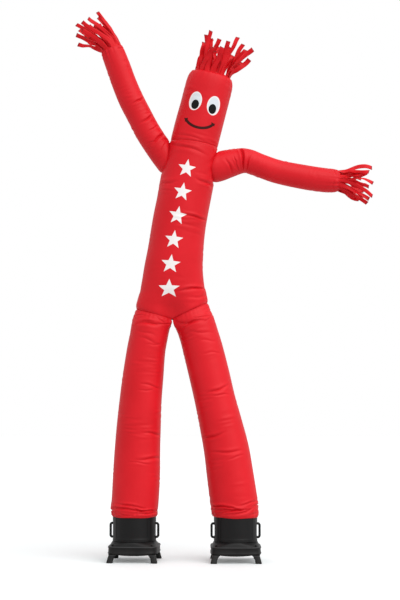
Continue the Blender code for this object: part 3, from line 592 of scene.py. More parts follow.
# ---- the sewn figure ----
@dataclass
class ClothPiece:
    """One sewn tube of the figure."""

    name: str                   # of the solid that it replaces
    tube: Tube
    angle: Array                # of its lines of cloth
    low: End
    high: End
    starts: Array               # where each line of cloth starts and ends along the tube
    ends: Array
    seed: int
    rests_on: tuple[str, ...]
    low_dip: float = 0.0045     # depth of the hollow along each seam
    high_dip: float = 0.0045
    flare: Array | None = None  # share of the radius at the high end, for each line of cloth
    dimples: tuple[Tube, ...] = ()      # arms sewn into it

    STEP, FINE = 0.010, 0.0045          # spacing of the rings, and where the cloth is creased or sewn
    END_REACH, CREASE_REACH = 0.07, 0.03        # length over which the spacing grows
    TUCK = 0.012                # cloth turned in at a seam
    HEM_TURN, HEM_RINGS = 0.040, 14     # cloth turned up inside a hem
    END_BLEND = 0.45            # length over which rings turn level beyond a slanting end
    FLARE_BLEND = 0.16          # length over which a leg takes the outline of the torso
    FOLD, FOLD_WIDTH = 0.0035, 0.007    # groove of the back seam
    PULL, PULL_WIDTH = 0.0016, 0.045    # puckers beside it
    HEM_GAP = 0.0045            # space between the cloth and its turned-up edge
    HEM_EDGE, HEM_SAG = 0.006, 0.0025   # cloth in the turn of a hem, and how far the turn hangs
    HEM_RISE, HEM_WAVE, HEM_DROP = 0.010, 0.0018, 0.004     # lift, waves and lower front of the edge
    STITCH_PULL = 0.006         # how far a sewn-in arm draws the torso in

    def marks(self) -> Array:
        """Distances of the rings, with the turned-in or closed ends beyond the seams.

        Returns:
            The distances, from the low end up.
        """
        first, final = self.starts.min(), self.ends.max()
        below, above = np.array((self.TUCK, self.TUCK / 2)), np.array((self.TUCK / 2, self.TUCK))
        if self.low is End.HEM:
            below = np.linspace(self.HEM_TURN, 0.0, self.HEM_RINGS + 1)[:-1]
        return np.concatenate((first - below, first + self.graded(first, final), final + above))

    def graded(self, first: float, final: float) -> Array:
        """Space the rings, close together near the ends and the creases.

        Args:
            first: Distance along the tube of the first ring.
            final: Distance of the last ring.

        Returns:
            Distances of the rings from the first.
        """
        spots = np.linspace(first, final, 4001)
        near = np.minimum(spots - first, final - spots) / self.END_REACH
        for crease, at, _ in self.tube.creases:
            away = np.abs(spots - at) - 0.5 * abs(crease.rise) - 2.0 * crease.width
            near = np.minimum(near, away / self.CREASE_REACH)
        step = self.FINE + (self.STEP - self.FINE) * np.clip(near, 0.0, 1.0)
        count = np.concatenate(([0.0], np.cumsum((spots[1] - first) / step[:-1])))
        return np.interp(np.linspace(0.0, count[-1], int(count[-1]) + 2), count, spots - first)

    def build(self) -> bpy.types.Object:
        """Make the cloth with its wrinkles, seams and ends.

        Returns:
            The finished piece, which replaces the solid of the same name.
        """
        angle, mark = np.meshgrid(self.angle, self.marks())
        first, final = self.starts.min(), self.ends.max()
        held = np.clip(mark, first, final)
        s = held + (self.starts - first) * np.maximum(0.0, 1.0 - (held - first) / self.END_BLEND)
        s += (self.ends - final) * np.maximum(0.0, 1.0 - (final - held) / self.END_BLEND)
        below, above = first - np.minimum(mark, first), np.maximum(mark, final) - final
        from_low, from_high = s - self.starts, self.ends - s
        row = self.tube.sample(s)
        from_back = np.abs(wrapped(angle - BACK_SEAM)) * 0.5 * (row[..., 3] + row[..., 4])
        ripples, others = Ripples(self.seed), Ripples(self.seed + 7)
        push = self.tube.crease_push(s, angle) + ripples.faint(s, angle)
        push += self.FOLD * bell(from_back, self.FOLD_WIDTH)
        push += self.PULL * np.sin(s * 95.0 + 1.5 * np.sin(s * 31.0)) * np.exp(-from_back / self.PULL_WIDTH)
        shift, low_push = self.finish(self.low, below, from_low, angle, ripples, self.low_dip)
        _, high_push = self.finish(self.high, above, from_high, angle, others, self.high_dip)
        scale = np.ones(s.shape)
        if self.flare is not None:
            scale += (self.flare - 1.0) * eased(1.0 - from_high / self.FLARE_BLEND)
        points = self.tube.surface(s + shift, angle, push + low_push + high_push, scale)
        for arm in self.dimples:
            points = self.dimple(points, s, angle, arm)
        if self.low is End.HEM:
            from_low = np.abs(from_low - HEM_STITCH) + RING_STITCH
        around = np.linspace(0.0, self.tube.girth, len(self.angle))
        cloth = np.stack(np.broadcast_arrays(around, s + (above - below)), axis=-1)
        bm = bmesh.new()
        bm.loops.layers.uv.new("cloth")
        lay_grid(bm, points, cloth, ring_seam=np.minimum(from_low, from_high), back_seam=from_back)
        bmesh.ops.remove_doubles(bm, verts=bm.verts, dist=MERGE_CLOTH)
        piece = add_piece(self.name + "_cloth", bm, self.name)
        length = float(self.ends.max() - self.starts.min())
        return piece

    def finish(self, end: End, past: Array, inside: Array, angle: Array, ripples: Ripples,
               dip: float) -> tuple[Array, Array]:
        """Shape of the cloth at one end.

        Args:
            end: How the end is finished.
            past: Distance of each point beyond the end.
            inside: Distance of each point from the end, along the cloth.
            angle: Angles round the tube.
            ripples: Wrinkles of that end.
            dip: Depth of the hollow along a seam.

        Returns:
            How far points move along the tube, and how far they are drawn in.
        """
        still = np.zeros(past.shape)
        if end is End.HEM:
            turned = np.minimum(past / self.HEM_EDGE, 1.0)
            up = np.maximum(past - self.HEM_EDGE, 0.0) - self.HEM_SAG * np.sin(turned * math.pi)
            lift = self.HEM_RISE + self.HEM_WAVE * np.sin(5 * angle + self.seed)
            lift = lift - self.HEM_DROP * np.sin(angle)
            gather = ripples.puckers(angle, inside, 0.05, (16, 34)) * np.clip(inside / 0.02, 0.2, 1.0)
            roll = 0.0035 * np.exp(-inside / self.HEM_EDGE) - 0.0055 * bell(inside - 0.024, 0.016)
            drawn = self.HEM_GAP * turned + (0.6 * gather + roll) * (1.0 - turned)
            return up + lift * np.exp(-inside / 0.05), drawn
        if end is End.BAND:
            gather = 1.2 * ripples.puckers(angle, inside, 0.065, (11, 23))
            gather = gather * np.clip(inside / 0.015, 0.12, 1.0)
            return still, gather + past + 0.0065 * np.exp(-inside / 0.018)
        groove = np.exp(-(np.maximum(inside, 0.0) / (0.004 + 1.2 * dip)) ** 1.3)
        swell = 0.2 * bell(inside - 0.035, 0.022)
        gather = 50.0 * dip * ripples.puckers(angle, inside, 0.045, (13, 34))
        drawn = dip * (groove - swell) + gather * np.clip(inside / 0.012, 0.0, 1.0) + past
        return -0.8 * past if end is End.ARMHOLE else still, drawn

    def dimple(self, points: Array, s: Array, angle: Array, arm: Tube) -> Array:
        """Draw the cloth in along the line where an arm is sewn to it.

        Args:
            points: Points of the cloth.
            s: Their distances along the tube.
            angle: Their angles round it.
            arm: The arm.

        Returns:
            The moved points.
        """
        apart, along_arm = arm.clearance(points)
        apart = np.where(along_arm > 0.0, apart, 1.0)
        pull = self.STITCH_PULL * bell(apart, 0.011)
        pull = pull + 0.0022 * np.sin(11.0 * angle + 60.0 * s) * bell(apart, 0.05)
        return points + unit(self.tube.sample(s)[..., :3] - points) * pull[..., None]


def seam_line(tube: Tube, angle: Array, above: Callable[[Array], Array], low: bool,
              scale: Array | float = 1.0) -> Array:
    """Distance along a tube at which each line of cloth meets a seam.

    Args:
        tube: The tube.
        angle: Angles of the lines.
        above: Gives how far above the seam points are.
        low: Whether the seam is at the tube's low end.
        scale: Share of the tube's radius.

    Returns:
        One distance for each angle.
    """
    near, side = np.full(angle.shape, 0.0 if low else tube.length), 1 if low else -1
    far = np.full(angle.shape, (0.6 if low else 0.4) * tube.length)
    for _ in range(30):
        half = 0.5 * (near + far)
        lost = side * above(tube.surface(half, angle, scale=scale)) < 0.0
        near, far = np.where(lost, half, near), np.where(lost, far, half)
    return far


def above_hips(points: Array) -> Array:
    """Signed height above the two sloping hip seams."""
    slope = np.where(points[..., 0] < CROTCH_X, HIP_SLOPE_LEFT, HIP_SLOPE_RIGHT)
    return points[..., 2] - CROTCH_Z - slope * np.abs(points[..., 0] - CROTCH_X)


def above_neck(points: Array) -> Array:
    """Signed distance above the tilted neck seam."""
    tilt = math.radians(NECK_TILT)
    return (points[..., 0] - NECK_X) * math.sin(tilt) + (points[..., 2] - NECK_Z) * math.cos(tilt)


class Figure:
    """The whole blown-up figure: trunk, legs, arms and three ribbon fringes."""

    LINES = {"torso": 176, "head": 168, "leg": 152, "arm": 104}         # lines of cloth round each

    def __init__(self) -> None:
        """Shape its six tubes."""
        self.torso, self.head = Tube(TORSO, TORSO_CREASES), Tube(HEAD, HEAD_CREASES)
        self.left_arm, self.right_arm = Tube(LEFT_ARM, LEFT_ARM_CREASES), Tube(RIGHT_ARM, RIGHT_ARM_CREASES)
        self.left_leg, self.right_leg = Tube(LEFT_LEG, LEFT_LEG_CREASES), Tube(RIGHT_LEG, RIGHT_LEG_CREASES)

    def build(self) -> None:
        """Build and dress every cloth piece."""
        for tube, seed in ((self.left_leg, 3), (self.right_leg, 9)):
            tube.gather(seed, 15, 0.030, 0.115, 0.012)
            tube.gather(seed + 1, 9, tube.length - 0.36, tube.length - 0.22, 0.006)
        for tube, seed in ((self.left_arm, 13), (self.right_arm, 19)):
            tube.gather(seed, 8, tube.length - 0.10, tube.length - 0.03, 0.004)
            tube.gather(seed + 1, 8, 0.30, 0.42, 0.005)
        nylon = Nylon("nylon").material()
        arm, held_by = ((End.ARMHOLE, End.BAND), (self.off_torso, None)), ("torso_cloth",)
        dressed = {
            self.tube_piece("torso", self.torso, (End.SEAM, End.SEAM), (above_hips, above_neck), 11,
                            ("left_leg_cloth", "right_leg_cloth"), low_dip=0.0075,
                            dimples=(self.left_arm, self.right_arm)):
                Nylon("nylon_torso", prints=star_column(self.torso)).material(),
            self.tube_piece("head", self.head, (End.SEAM, End.BAND), (above_neck, None), 23, held_by):
                Nylon("nylon_head", prints=face(self.head)).material(),
            self.leg("left_leg", self.left_leg, -1, 31): nylon,
            self.leg("right_leg", self.right_leg, 1, 47): nylon,
            self.tube_piece("left_arm", self.left_arm, *arm, 59, held_by, low_dip=0.006): nylon,
            self.tube_piece("right_arm", self.right_arm, *arm, 73, held_by, low_dip=0.006): nylon,
        }
        for piece, finish in dressed.items():
            piece.data.materials.append(finish)
        ribbon = Nylon("nylon_ribbon", edge=Edge.CUT, red=RIBBON_RED, deep=RIBBON_DEEP).material()
        for fringe in (Fringe("hair_fringe", self.head, HAIR, 5, "head_cloth", 1.05),
                       Fringe("left_hand_fringe", self.left_arm, LEFT_HAND, 17, "left_arm_cloth"),
                       Fringe("right_hand_fringe", self.right_arm, RIGHT_HAND, 29, "right_arm_cloth")):
            fringe.build().data.materials.append(ribbon)

    def leg(self, name: str, tube: Tube, side: int, seed: int) -> bpy.types.Object:
        """Make one leg, from its hem to the hip seam, where it takes the outline of the torso.

        Args:
            name: Name of the solid that it replaces.
            tube: Its shape.
            side: -1 for the left leg and 1 for the right leg.
            seed: Seed of its wrinkles.

        Returns:
            The finished piece.
        """
        angle = cloth_lines(self.LINES["leg"])
        flare = np.ones(angle.shape)
        for _ in range(3):
            ends = seam_line(tube, angle, above_hips, low=False, scale=flare)
            least, most = np.full(angle.shape, 0.6), np.full(angle.shape, 1.4)
            for _ in range(22):
                flare = 0.5 * (least + most)
                out = self.outside(tube.surface(ends, angle, scale=flare), side) > 0.0
                least, most = np.where(out, least, flare), np.where(out, flare, most)
        held_by = name.replace("leg", "blower") + "_barrel_moulding"
        return ClothPiece(name, tube, angle, End.HEM, End.SEAM, np.zeros(angle.shape), ends, seed,
                          (held_by,), high_dip=0.0095, flare=flare).build()

    def outside(self, points: Array, side: int) -> Array:
        """How far points are outside the half of the torso that a leg hangs from."""
        return np.maximum(self.torso.clearance(points)[0], -side * (points[..., 0] - CROTCH_X) + 0.0005)

    def off_torso(self, points: Array) -> Array:
        """How far points are from where an arm is sewn to the torso, outwards."""
        return self.torso.clearance(points)[0] - 0.001

    def tube_piece(self, name: str, tube: Tube, ends: tuple[End, End], seams: tuple, seed: int,
                   rests_on: tuple[str, ...], **others: object) -> bpy.types.Object:
        """Make the torso, the head or an arm.

        Args:
            name: Name of the solid that it replaces.
            tube: Its shape.
            ends: Finish of its low and high ends.
            seams: For each end, how far above its seam points are, or None at a band.
            seed: Seed of its wrinkles.
            rests_on: What holds it; not used.
            **others: Other figures of the piece.

        Returns:
            The finished piece.
        """
        angle = cloth_lines(self.LINES[name.split("_")[-1]])
        starts, stops = seam_line(tube, angle, seams[0], low=True), np.full(angle.shape, tube.length)
        if seams[1]:
            stops = seam_line(tube, angle, seams[1], low=False)
        return ClothPiece(name, tube, angle, *ends, starts, stops, seed, rests_on, **others).build()


@dataclass(frozen=True)
class Ring:
    """One ring of ribbons."""

    inset: float                # how far inside the rim they start
    root: float                 # how far above it
    share: float                # of the outer ribbons' length
    pace: int                   # places of the rim from one to the next
    front: tuple[float, float]  # how far they turn their flat sides to the front, least and most


@dataclass
class Fringe:
    """Cut ribbons that stand out from a sewn band at the end of a tube."""

    name: str                   # of the solid that it replaces
    tube: Tube
    strips: Sequence[Strip]     # the outer ribbons, in order round the band
    seed: int
    held_by: str
    stretch: float = 1.02       # how far out the tips stand, as a share of the strips' figures

    RINGS = (Ring(0.0090, -0.012, 1.00, 1, (0.75, 1.0)), Ring(0.022, 0.001, 0.84, 2, (0.0, 0.5)),
             Ring(0.040, 0.006, 0.70, 3, (0.0, 0.6)))
    STAGGER = 0.0022            # how much further in each ribbon starts than the one beside it
    GAP = 0.0003                # between the tube's end and the band
    OPEN = 0.10                 # share of the rim that the cuts between ribbons take up
    CLOTH = 0.0009              # thickness of the ribbons
    BAND_LOW, BAND_HIGH, BAND_THICK, PLEAT = -0.014, 0.008, 0.002, 0.0010
    DOME_RISE, DOME_INSET, DOME_FOLD, DOME_FOLDS = 0.027, 0.017, 0.0022, 24
    ROWS, ACROSS = 30, 5        # facets along and across a ribbon
    FALL, RISE = 0.62, 0.26     # where a ribbon bends over, and how far it first stands up
    CURL, TIP_CURL = 1.3, 0.4   # most that its flat side turns midway and at its tip, in radians
    SWAY, CUP, SLANT = 0.016, 0.0035, 0.3       # sideways wave, hollow across, and slope of its cut
    WAVES = ((0.0110, (1.2, 2.4)), (0.0010, (5.0, 7.0)))        # height, least and most in its length
    WIDTHS, ROOT_WIDENED, WIDE_END = (0.88, 1.08), 0.35, 0.5    # of a cut of the band, and near its root

    def build(self) -> bpy.types.Object:
        """Make the band, the cloth inside it and three rings of ribbons.

        Returns:
            The finished fringe, which replaces the solid of the same name.
        """
        draw = np.random.default_rng(self.seed)
        bm = bmesh.new()
        bm.loops.layers.uv.new("cloth")
        self.band(bm)
        self.dome(bm)
        count = len(self.strips)
        for ring in self.RINGS:
            for k in range(0, count, ring.pace):
                strip = self.strips[k] if ring.pace == 1 else self.between(k, ring.share, draw)
                place = (k + draw.uniform(-1.0, 1.0)) * (math.tau / count)
                self.ribbon(bm, place, strip, ring, ring.inset + self.STAGGER * (k % 3), draw)
        piece = add_piece(self.name + "_cloth", bm, self.name)
        solid = piece.modifiers.new("cloth", "SOLIDIFY")
        solid.thickness, solid.offset = self.CLOTH, 0.0
        return piece

    def between(self, k: int, share: float, draw: np.random.Generator) -> Strip:
        """Lay out a shorter ribbon that leans over to one of its neighbours.

        Args:
            k: Its place round the band.
            share: Its length as a share of the outer ribbons'.
            draw: Random numbers for its length and lean.

        Returns:
            The ribbon's strip.
        """
        near = self.strips[k]
        far = self.strips[(k + int(draw.integers(-3, 5))) % len(self.strips)]
        mix = draw.uniform(0.2, 0.8)
        reach, side, front = (share * (getattr(near, part) * mix + getattr(far, part) * (1 - mix))
                              for part in ("reach", "side", "front"))
        return Strip(reach * draw.uniform(0.85, 1.1), side, front, draw.uniform(-0.035, 0.035))

    def frame(self) -> tuple[Array, Array, Array, Array]:
        """Middle of the tube's end, and the directions along it, to its side and out of its front."""
        axes = self.tube.axes(np.array(self.tube.length))
        return self.tube.sample(np.array(self.tube.length))[:3] + axes[0] * self.GAP, *axes

    def spots(self, across: Array, out: Array, up: Array) -> Array:
        """Points at distances to the side, to the front and along the tube from its end."""
        middle, along, side, front = self.frame()
        return middle + side * across[..., None] + front * out[..., None] + along * up[..., None]

    def rim(self, angle: Array | float, inset: Array | float, height: Array | float) -> Array:
        """Points of the band.

        Args:
            angle: Their angles round the tube's end.
            inset: How far inside the outside of the tube they are.
            height: How far above its end they are.

        Returns:
            The points.
        """
        angle, inset, height = np.broadcast_arrays(angle, inset, height)
        wide, deep = (float(size) for size in self.tube.table[-1, 3:5])
        return self.spots((wide - inset) * np.cos(angle), (deep - inset) * np.sin(angle), height)

    def half_width(self, inset: float) -> float:
        """Half the width of one cut of the band."""
        half = math.pi / len(self.strips) * (1.0 - self.OPEN)
        return 0.5 * float(np.linalg.norm(self.rim(half, inset, 0.0) - self.rim(-half, inset, 0.0)))

    def band(self, bm: bmesh.types.BMesh) -> None:
        """Make the sewn tape that holds the ribbons inside the end of the tube.

        Args:
            bm: Mesh to add to.
        """
        near, far = self.DOME_INSET - self.BAND_THICK, self.DOME_INSET
        low, high = self.BAND_LOW, self.BAND_HIGH
        rows = np.array(((near, low), (near, 0.5 * (low + high)), (near, high), (far, high), (far, low),
                         (near, low)))
        angle = np.linspace(0.0, -math.tau, 145)[None, :]
        pleats = Ripples(self.seed, self.PLEAT).puckers(angle, np.zeros(angle.shape), 1.0, (16, 44))
        height = rows[:, 1:] + 0.0 * angle
        cloth = np.stack(np.broadcast_arrays(angle * self.tube.table[-1, 3], height), axis=-1)
        points = self.rim(angle, rows[:, :1] + pleats, height)
        verts = lay_grid(bm, points, cloth, tip=np.ones(height.shape))
        bmesh.ops.remove_doubles(bm, verts=verts, dist=MERGE_CLOTH)

    def dome(self, bm: bmesh.types.BMesh) -> None:
        """Make the puckered cloth that closes the tube inside the band.

        Args:
            bm: Mesh to add to.
        """
        wide, deep = (float(size) for size in self.tube.table[-1, 3:5])
        angle = np.linspace(0.0, -math.tau, 97)[None, :]
        turn = np.linspace(0.0, math.pi / 2, 14)[:, None]
        share = np.cos(turn) * (1.0 - self.DOME_INSET / wide)
        folds = self.DOME_FOLD * np.sin(self.DOME_FOLDS * angle) * np.cos(turn) * np.sin(turn)
        rise = self.DOME_RISE * np.sin(turn) + folds
        across, out = wide * share * np.cos(angle), deep * share * np.sin(angle)
        verts = lay_grid(bm, self.spots(across, out, rise), np.stack((across, out), axis=-1),
                         tip=np.ones(rise.shape))
        bmesh.ops.remove_doubles(bm, verts=verts, dist=MERGE_CLOTH)

    def ribbon(self, bm: bmesh.types.BMesh, angle: float, strip: Strip, ring: Ring, inset: float,
               draw: np.random.Generator) -> tuple[float, float]:
        """Make one ribbon from inside the end of the tube to its cut tip.

        Args:
            bm: Mesh to add to.
            angle: Its place round the band.
            strip: Where it goes.
            ring: The ring that it belongs to.
            inset: How far inside the rim it starts.
            draw: Random numbers for its curl.

        Returns:
            The ribbon's width and length.
        """
        middle, along, side, front = self.frame()
        root = self.rim(angle, inset, ring.root)
        tip = middle + (along * strip.reach + side * strip.side + front * strip.front) * self.stretch
        reach = float(np.linalg.norm(tip - root))
        bend = root + (tip - root) * self.FALL + side * strip.bow
        rise = root + along * (self.RISE * reach)
        u = np.linspace(0.0, 1.0, self.ROWS)[:, None]
        spots = root * (1 - u) ** 3 + rise * 3 * u * (1 - u) ** 2 + bend * 3 * u * u * (1 - u) + tip * u ** 3
        ahead = unit((rise - root) * (1 - u) ** 2 + (bend - rise) * 2 * u * (1 - u) + (tip - bend) * u * u)
        across = self.rim(angle + 0.05, inset, 0.0) - self.rim(angle - 0.05, inset, 0.0)
        flat = unit(across - ahead * (ahead @ across)[:, None])
        facing = unit(np.cross(ahead, front))
        facing = facing * (1.0 if float((facing * flat).sum()) > 0.0 else -1.0)
        swing = draw.uniform(*ring.front) * smooth_step(u, 0.05, 0.80)
        flat = unit(flat * (1.0 - swing) + facing * swing)
        curl = draw.uniform(-self.CURL, self.CURL) * np.sin(math.pi * u)
        curl = curl + draw.uniform(-self.TIP_CURL, self.TIP_CURL) * u
        thick = np.cross(ahead, flat)
        flat, thick = flat * np.cos(curl) + thick * np.sin(curl), thick * np.cos(curl) - flat * np.sin(curl)
        spots = spots + side * draw.uniform(-self.SWAY, self.SWAY) * np.sin(math.tau * (u ** 0.8)) * u
        wave = sum(high * u * np.sin(math.tau * (draw.uniform(*many) * u + draw.uniform()))
                   for high, many in self.WAVES)
        widened = 1.0 + self.ROOT_WIDENED - self.ROOT_WIDENED * smooth_step(u, 0.0, self.WIDE_END)
        half = self.half_width(inset) * draw.uniform(*self.WIDTHS) * widened
        cup = draw.uniform(-self.CUP, self.CUP) * np.sin(math.pi * (0.15 + 0.8 * u))
        x = np.linspace(-1.0, 1.0, self.ACROSS)[None, :, None]
        lift = wave[:, None, :] + cup[:, None, :] * (x ** 2 - 0.4)
        slant = draw.uniform(-self.SLANT, self.SLANT) * half[:, None, :] * x * (u[:, None, :] > 0.99)
        points = spots[:, None, :] + flat[:, None, :] * (half[:, None, :] * x)
        points = points + thick[:, None, :] * lift + ahead[:, None, :] * slant
        length = float(np.linalg.norm(np.diff(spots, axis=0), axis=1).sum())
        runs = np.linspace(0.0, length, len(points))
        cloth = np.stack(np.meshgrid(x[0, :, 0] * half.max() + draw.uniform(0.0, 3.0), runs), axis=-1)
        lay_grid(bm, points, cloth, tip=np.broadcast_to((length - runs)[:, None], points.shape[:2]))
        return 2.0 * float(half.mean()), length


# ---- shader graphs ----
class Wire:
    """A shader socket that can stand in sums; each sum adds its Math node."""

    def __init__(self, graph: "Graph", socket: bpy.types.NodeSocket) -> None:
        """Keep the socket with the graph that it belongs to."""
        self.graph, self.socket = graph, socket

    def maths(self, operation: str, *values: "Wire | float") -> "Wire":
        """The result of a Math node on this and any other values."""
        return self.graph.node("ShaderNodeMath", {"operation": operation}, dict(enumerate((self, *values))))

    def __add__(self, other: "Wire | float") -> "Wire":
        """This plus another."""
        return self.maths("ADD", other)

    __radd__ = __add__

    def __sub__(self, other: "Wire | float") -> "Wire":
        """This less another."""
        return self.maths("SUBTRACT", other)

    def __rsub__(self, other: float) -> "Wire":
        """A number less this."""
        return self.graph.node("ShaderNodeMath", {"operation": "SUBTRACT"}, {0: other, 1: self})

    def __mul__(self, other: "Wire | float") -> "Wire":
        """This times another."""
        return self.maths("MULTIPLY", other)

    __rmul__ = __mul__

    def __abs__(self) -> "Wire":
        """This without its sign."""
        return self.maths("ABSOLUTE")

    def below(self, edge: float, soft: float) -> "Wire":
        """1 where this is less than an edge, 0 where it is more, over a soft step."""
        return self.graph.node("ShaderNodeClamp", {}, {"Value": (edge - self) * (1.0 / soft) + 0.5})

    def most(self, other: "Wire") -> "Wire":
        """The larger of the two."""
        return self.maths("MAXIMUM", other)

    def sine(self) -> "Wire":
        """Sine of this."""
        return self.maths("SINE")

    def root(self) -> "Wire":
        """Square root of this."""
        return self.maths("SQRT")

    def part(self) -> "Wire":
        """This less the whole numbers in it."""
        return self.maths("FRACT")


class Graph:
    """The nodes of one material."""

    def __init__(self, name: str) -> None:
        """Start a material that holds its shader and output alone.

        Args:
            name: Name of the material.
        """
        self.material = bpy.data.materials.new(name)
        self.material.use_nodes = True
        self.tree = self.material.node_tree
        self.shader = self.tree.nodes["Principled BSDF"]

    def node(self, kind: str, settings: dict, sockets: dict, out: int | str = 0) -> Wire:
        """Add a node.

        Args:
            kind: Its type.
            settings: Values of the node itself, such as a Math node's operation.
            sockets: Values or wires of its inputs, by name or number.
            out: The output to use.

        Returns:
            The wire of that output.
        """
        node = self.tree.nodes.new(kind)
        for key, value in settings.items():
            setattr(node, key, value)
        for key, value in sockets.items():
            if isinstance(value, Wire):
                self.tree.links.new(value.socket, node.inputs[key])
            else:
                node.inputs[key].default_value = value
        return Wire(self, node.outputs[out])

    def place(self) -> Wire:
        """Place on the solid, in metres."""
        return self.node("ShaderNodeTexCoord", {}, {}, "Object")

    def axis(self, place: Wire, number: int) -> Wire:
        """One number of a place: 0, 1 or 2."""
        return self.node("ShaderNodeSeparateXYZ", {}, {0: place}, number)

    def stored(self, name: str) -> Wire:
        """A number that the mesh holds under a name."""
        return self.node("ShaderNodeAttribute", {"attribute_name": name}, {}, "Fac")

    def mix(self, factor: Wire, first: Wire | Colour, second: Wire | Colour) -> Wire:
        """A colour between two others."""
        first, second = (end if isinstance(end, Wire) else (*end, 1.0) for end in (first, second))
        return self.node("ShaderNodeMix", {"data_type": "RGBA"}, {0: factor, 6: first, 7: second}, 2)

    def noise(self, place: Wire, scale: float, detail: float = 2.0, rough: float = 0.5) -> Wire:
        """Even noise between 0 and 1 at a scale in features to the metre."""
        sockets = {"Vector": place, "Scale": scale, "Detail": detail, "Roughness": rough}
        return self.node("ShaderNodeTexNoise", {}, sockets)

    def bump(self, height: Wire) -> Wire:
        """A normal from a height in metres."""
        return self.node("ShaderNodeBump", {}, {"Height": height, "Strength": 1.0, "Distance": 1.0})

    def plug(self, **wires: Wire) -> None:
        """Feed the shader's inputs, named with underscores for spaces."""
        for name, wire in wires.items():
            self.tree.links.new(wire.socket, self.shader.inputs[name.replace("_", " ")])

    def fix(self, values: dict) -> None:
        """Set the shader inputs that are the same all over."""
        for name, value in values.items():
            self.shader.inputs[name].default_value = value


# ---- shapes in print ----
@dataclass(frozen=True)
class Oval:
    """An oval print, in metres of cloth."""

    u: float
    v: float
    half_width: float
    half_height: float
    lean: float = 0.0

    SOFT = 0.03

    def mask(self, u: Wire, v: Wire) -> Wire:
        """The inside of the oval.

        Args:
            u: Place across the cloth.
            v: Place up the cloth.

        Returns:
            1 inside.
        """
        cosine, sine = math.cos(self.lean), math.sin(self.lean)
        across = ((u - self.u) * cosine + (v - self.v) * sine) * (1.0 / self.half_width)
        up = ((v - self.v) * cosine - (u - self.u) * sine) * (1.0 / self.half_height)
        return (across * across + up * up).root().below(1.0, self.SOFT)


@dataclass(frozen=True)
class Stroke:
    """A printed line along part of a circle, or straight where no middle is given."""

    start: tuple[float, float]
    end: tuple[float, float]
    middle: tuple[float, float] | None
    thick: float

    SOFT = 0.0015

    def mask(self, u: Wire, v: Wire) -> Wire:
        """The inside of the line.

        Args:
            u: Place across the cloth.
            v: Place up the cloth.

        Returns:
            1 inside.
        """
        (au, av), (bu, bv) = self.start, self.end
        run = math.hypot(bu - au, bv - av)
        ahead = ((bu - au) / run, (bv - av) / run)
        along = (u - au) * ahead[0] + (v - av) * ahead[1]
        side = (v - av) * ahead[0] - (u - au) * ahead[1]
        if self.middle is None:
            past = abs(along - 0.5 * run) - 0.5 * run
            return abs(side).most(past).below(0.5 * self.thick, self.SOFT)
        mid_along = (self.middle[0] - au) * ahead[0] + (self.middle[1] - av) * ahead[1]
        mid_side = (self.middle[1] - av) * ahead[0] - (self.middle[0] - au) * ahead[1]
        offset = (mid_along ** 2 - mid_along * run + mid_side ** 2) / (2.0 * mid_side)
        radius = math.hypot(0.5 * run, offset)
        out = (along - 0.5 * run) * (along - 0.5 * run) + (side - offset) * (side - offset)
        ring = abs(out.root() - radius).most(side * math.copysign(1.0, -mid_side))
        return ring.below(0.5 * self.thick, self.SOFT)


@dataclass(frozen=True)
class Stars:
    """A straight column of plain five-pointed stars, from the middle of the first to the last."""

    start: tuple[float, float]
    end: tuple[float, float]
    count: int
    radius: float

    POINTS = 5
    WAIST = 0.42                # radius between the points, as a share of the radius
    SOFT, BREAK = 0.0015, 0.001         # soft steps at the edge of a star and at the ends of the column

    def mask(self, u: Wire, v: Wire) -> Wire:
        """The inside of the stars.

        Args:
            u: Place across the cloth.
            v: Place up the cloth.

        Returns:
            1 inside.
        """
        run_u, run_v = self.end[0] - self.start[0], self.end[1] - self.start[1]
        run = math.hypot(run_u, run_v)
        pitch = run / (self.count - 1)
        along = ((u - self.start[0]) * run_u + (v - self.start[1]) * run_v) * (1.0 / run)
        side = ((u - self.start[0]) * run_v - (v - self.start[1]) * run_u) * (1.0 / run)
        local = ((along * (1.0 / pitch) + 0.5).part() - 0.5) * pitch
        turn = side.maths("ARCTAN2", local) * (0.5 * self.POINTS / math.pi)
        fold = abs((turn + 0.5).part() - 0.5) * (math.tau / self.POINTS)
        out = (local * local + side * side).root()
        tip, waist = self.radius, self.radius * self.WAIST
        edge = (waist * math.cos(math.pi / self.POINTS) - tip, waist * math.sin(math.pi / self.POINTS))
        size = math.hypot(*edge)
        slope = out * (fold.maths("COSINE") * (edge[1] / size) - fold.sine() * (edge[0] / size))
        inside = abs(along - 0.5 * run).below(0.5 * (run + pitch), self.BREAK)
        return slope.below(tip * edge[1] / size, self.SOFT) * inside


@dataclass(frozen=True)
class Ink:
    """One colour of print and the shapes that it fills."""

    colour: Colour
    shapes: tuple
    rough: float = 0.4


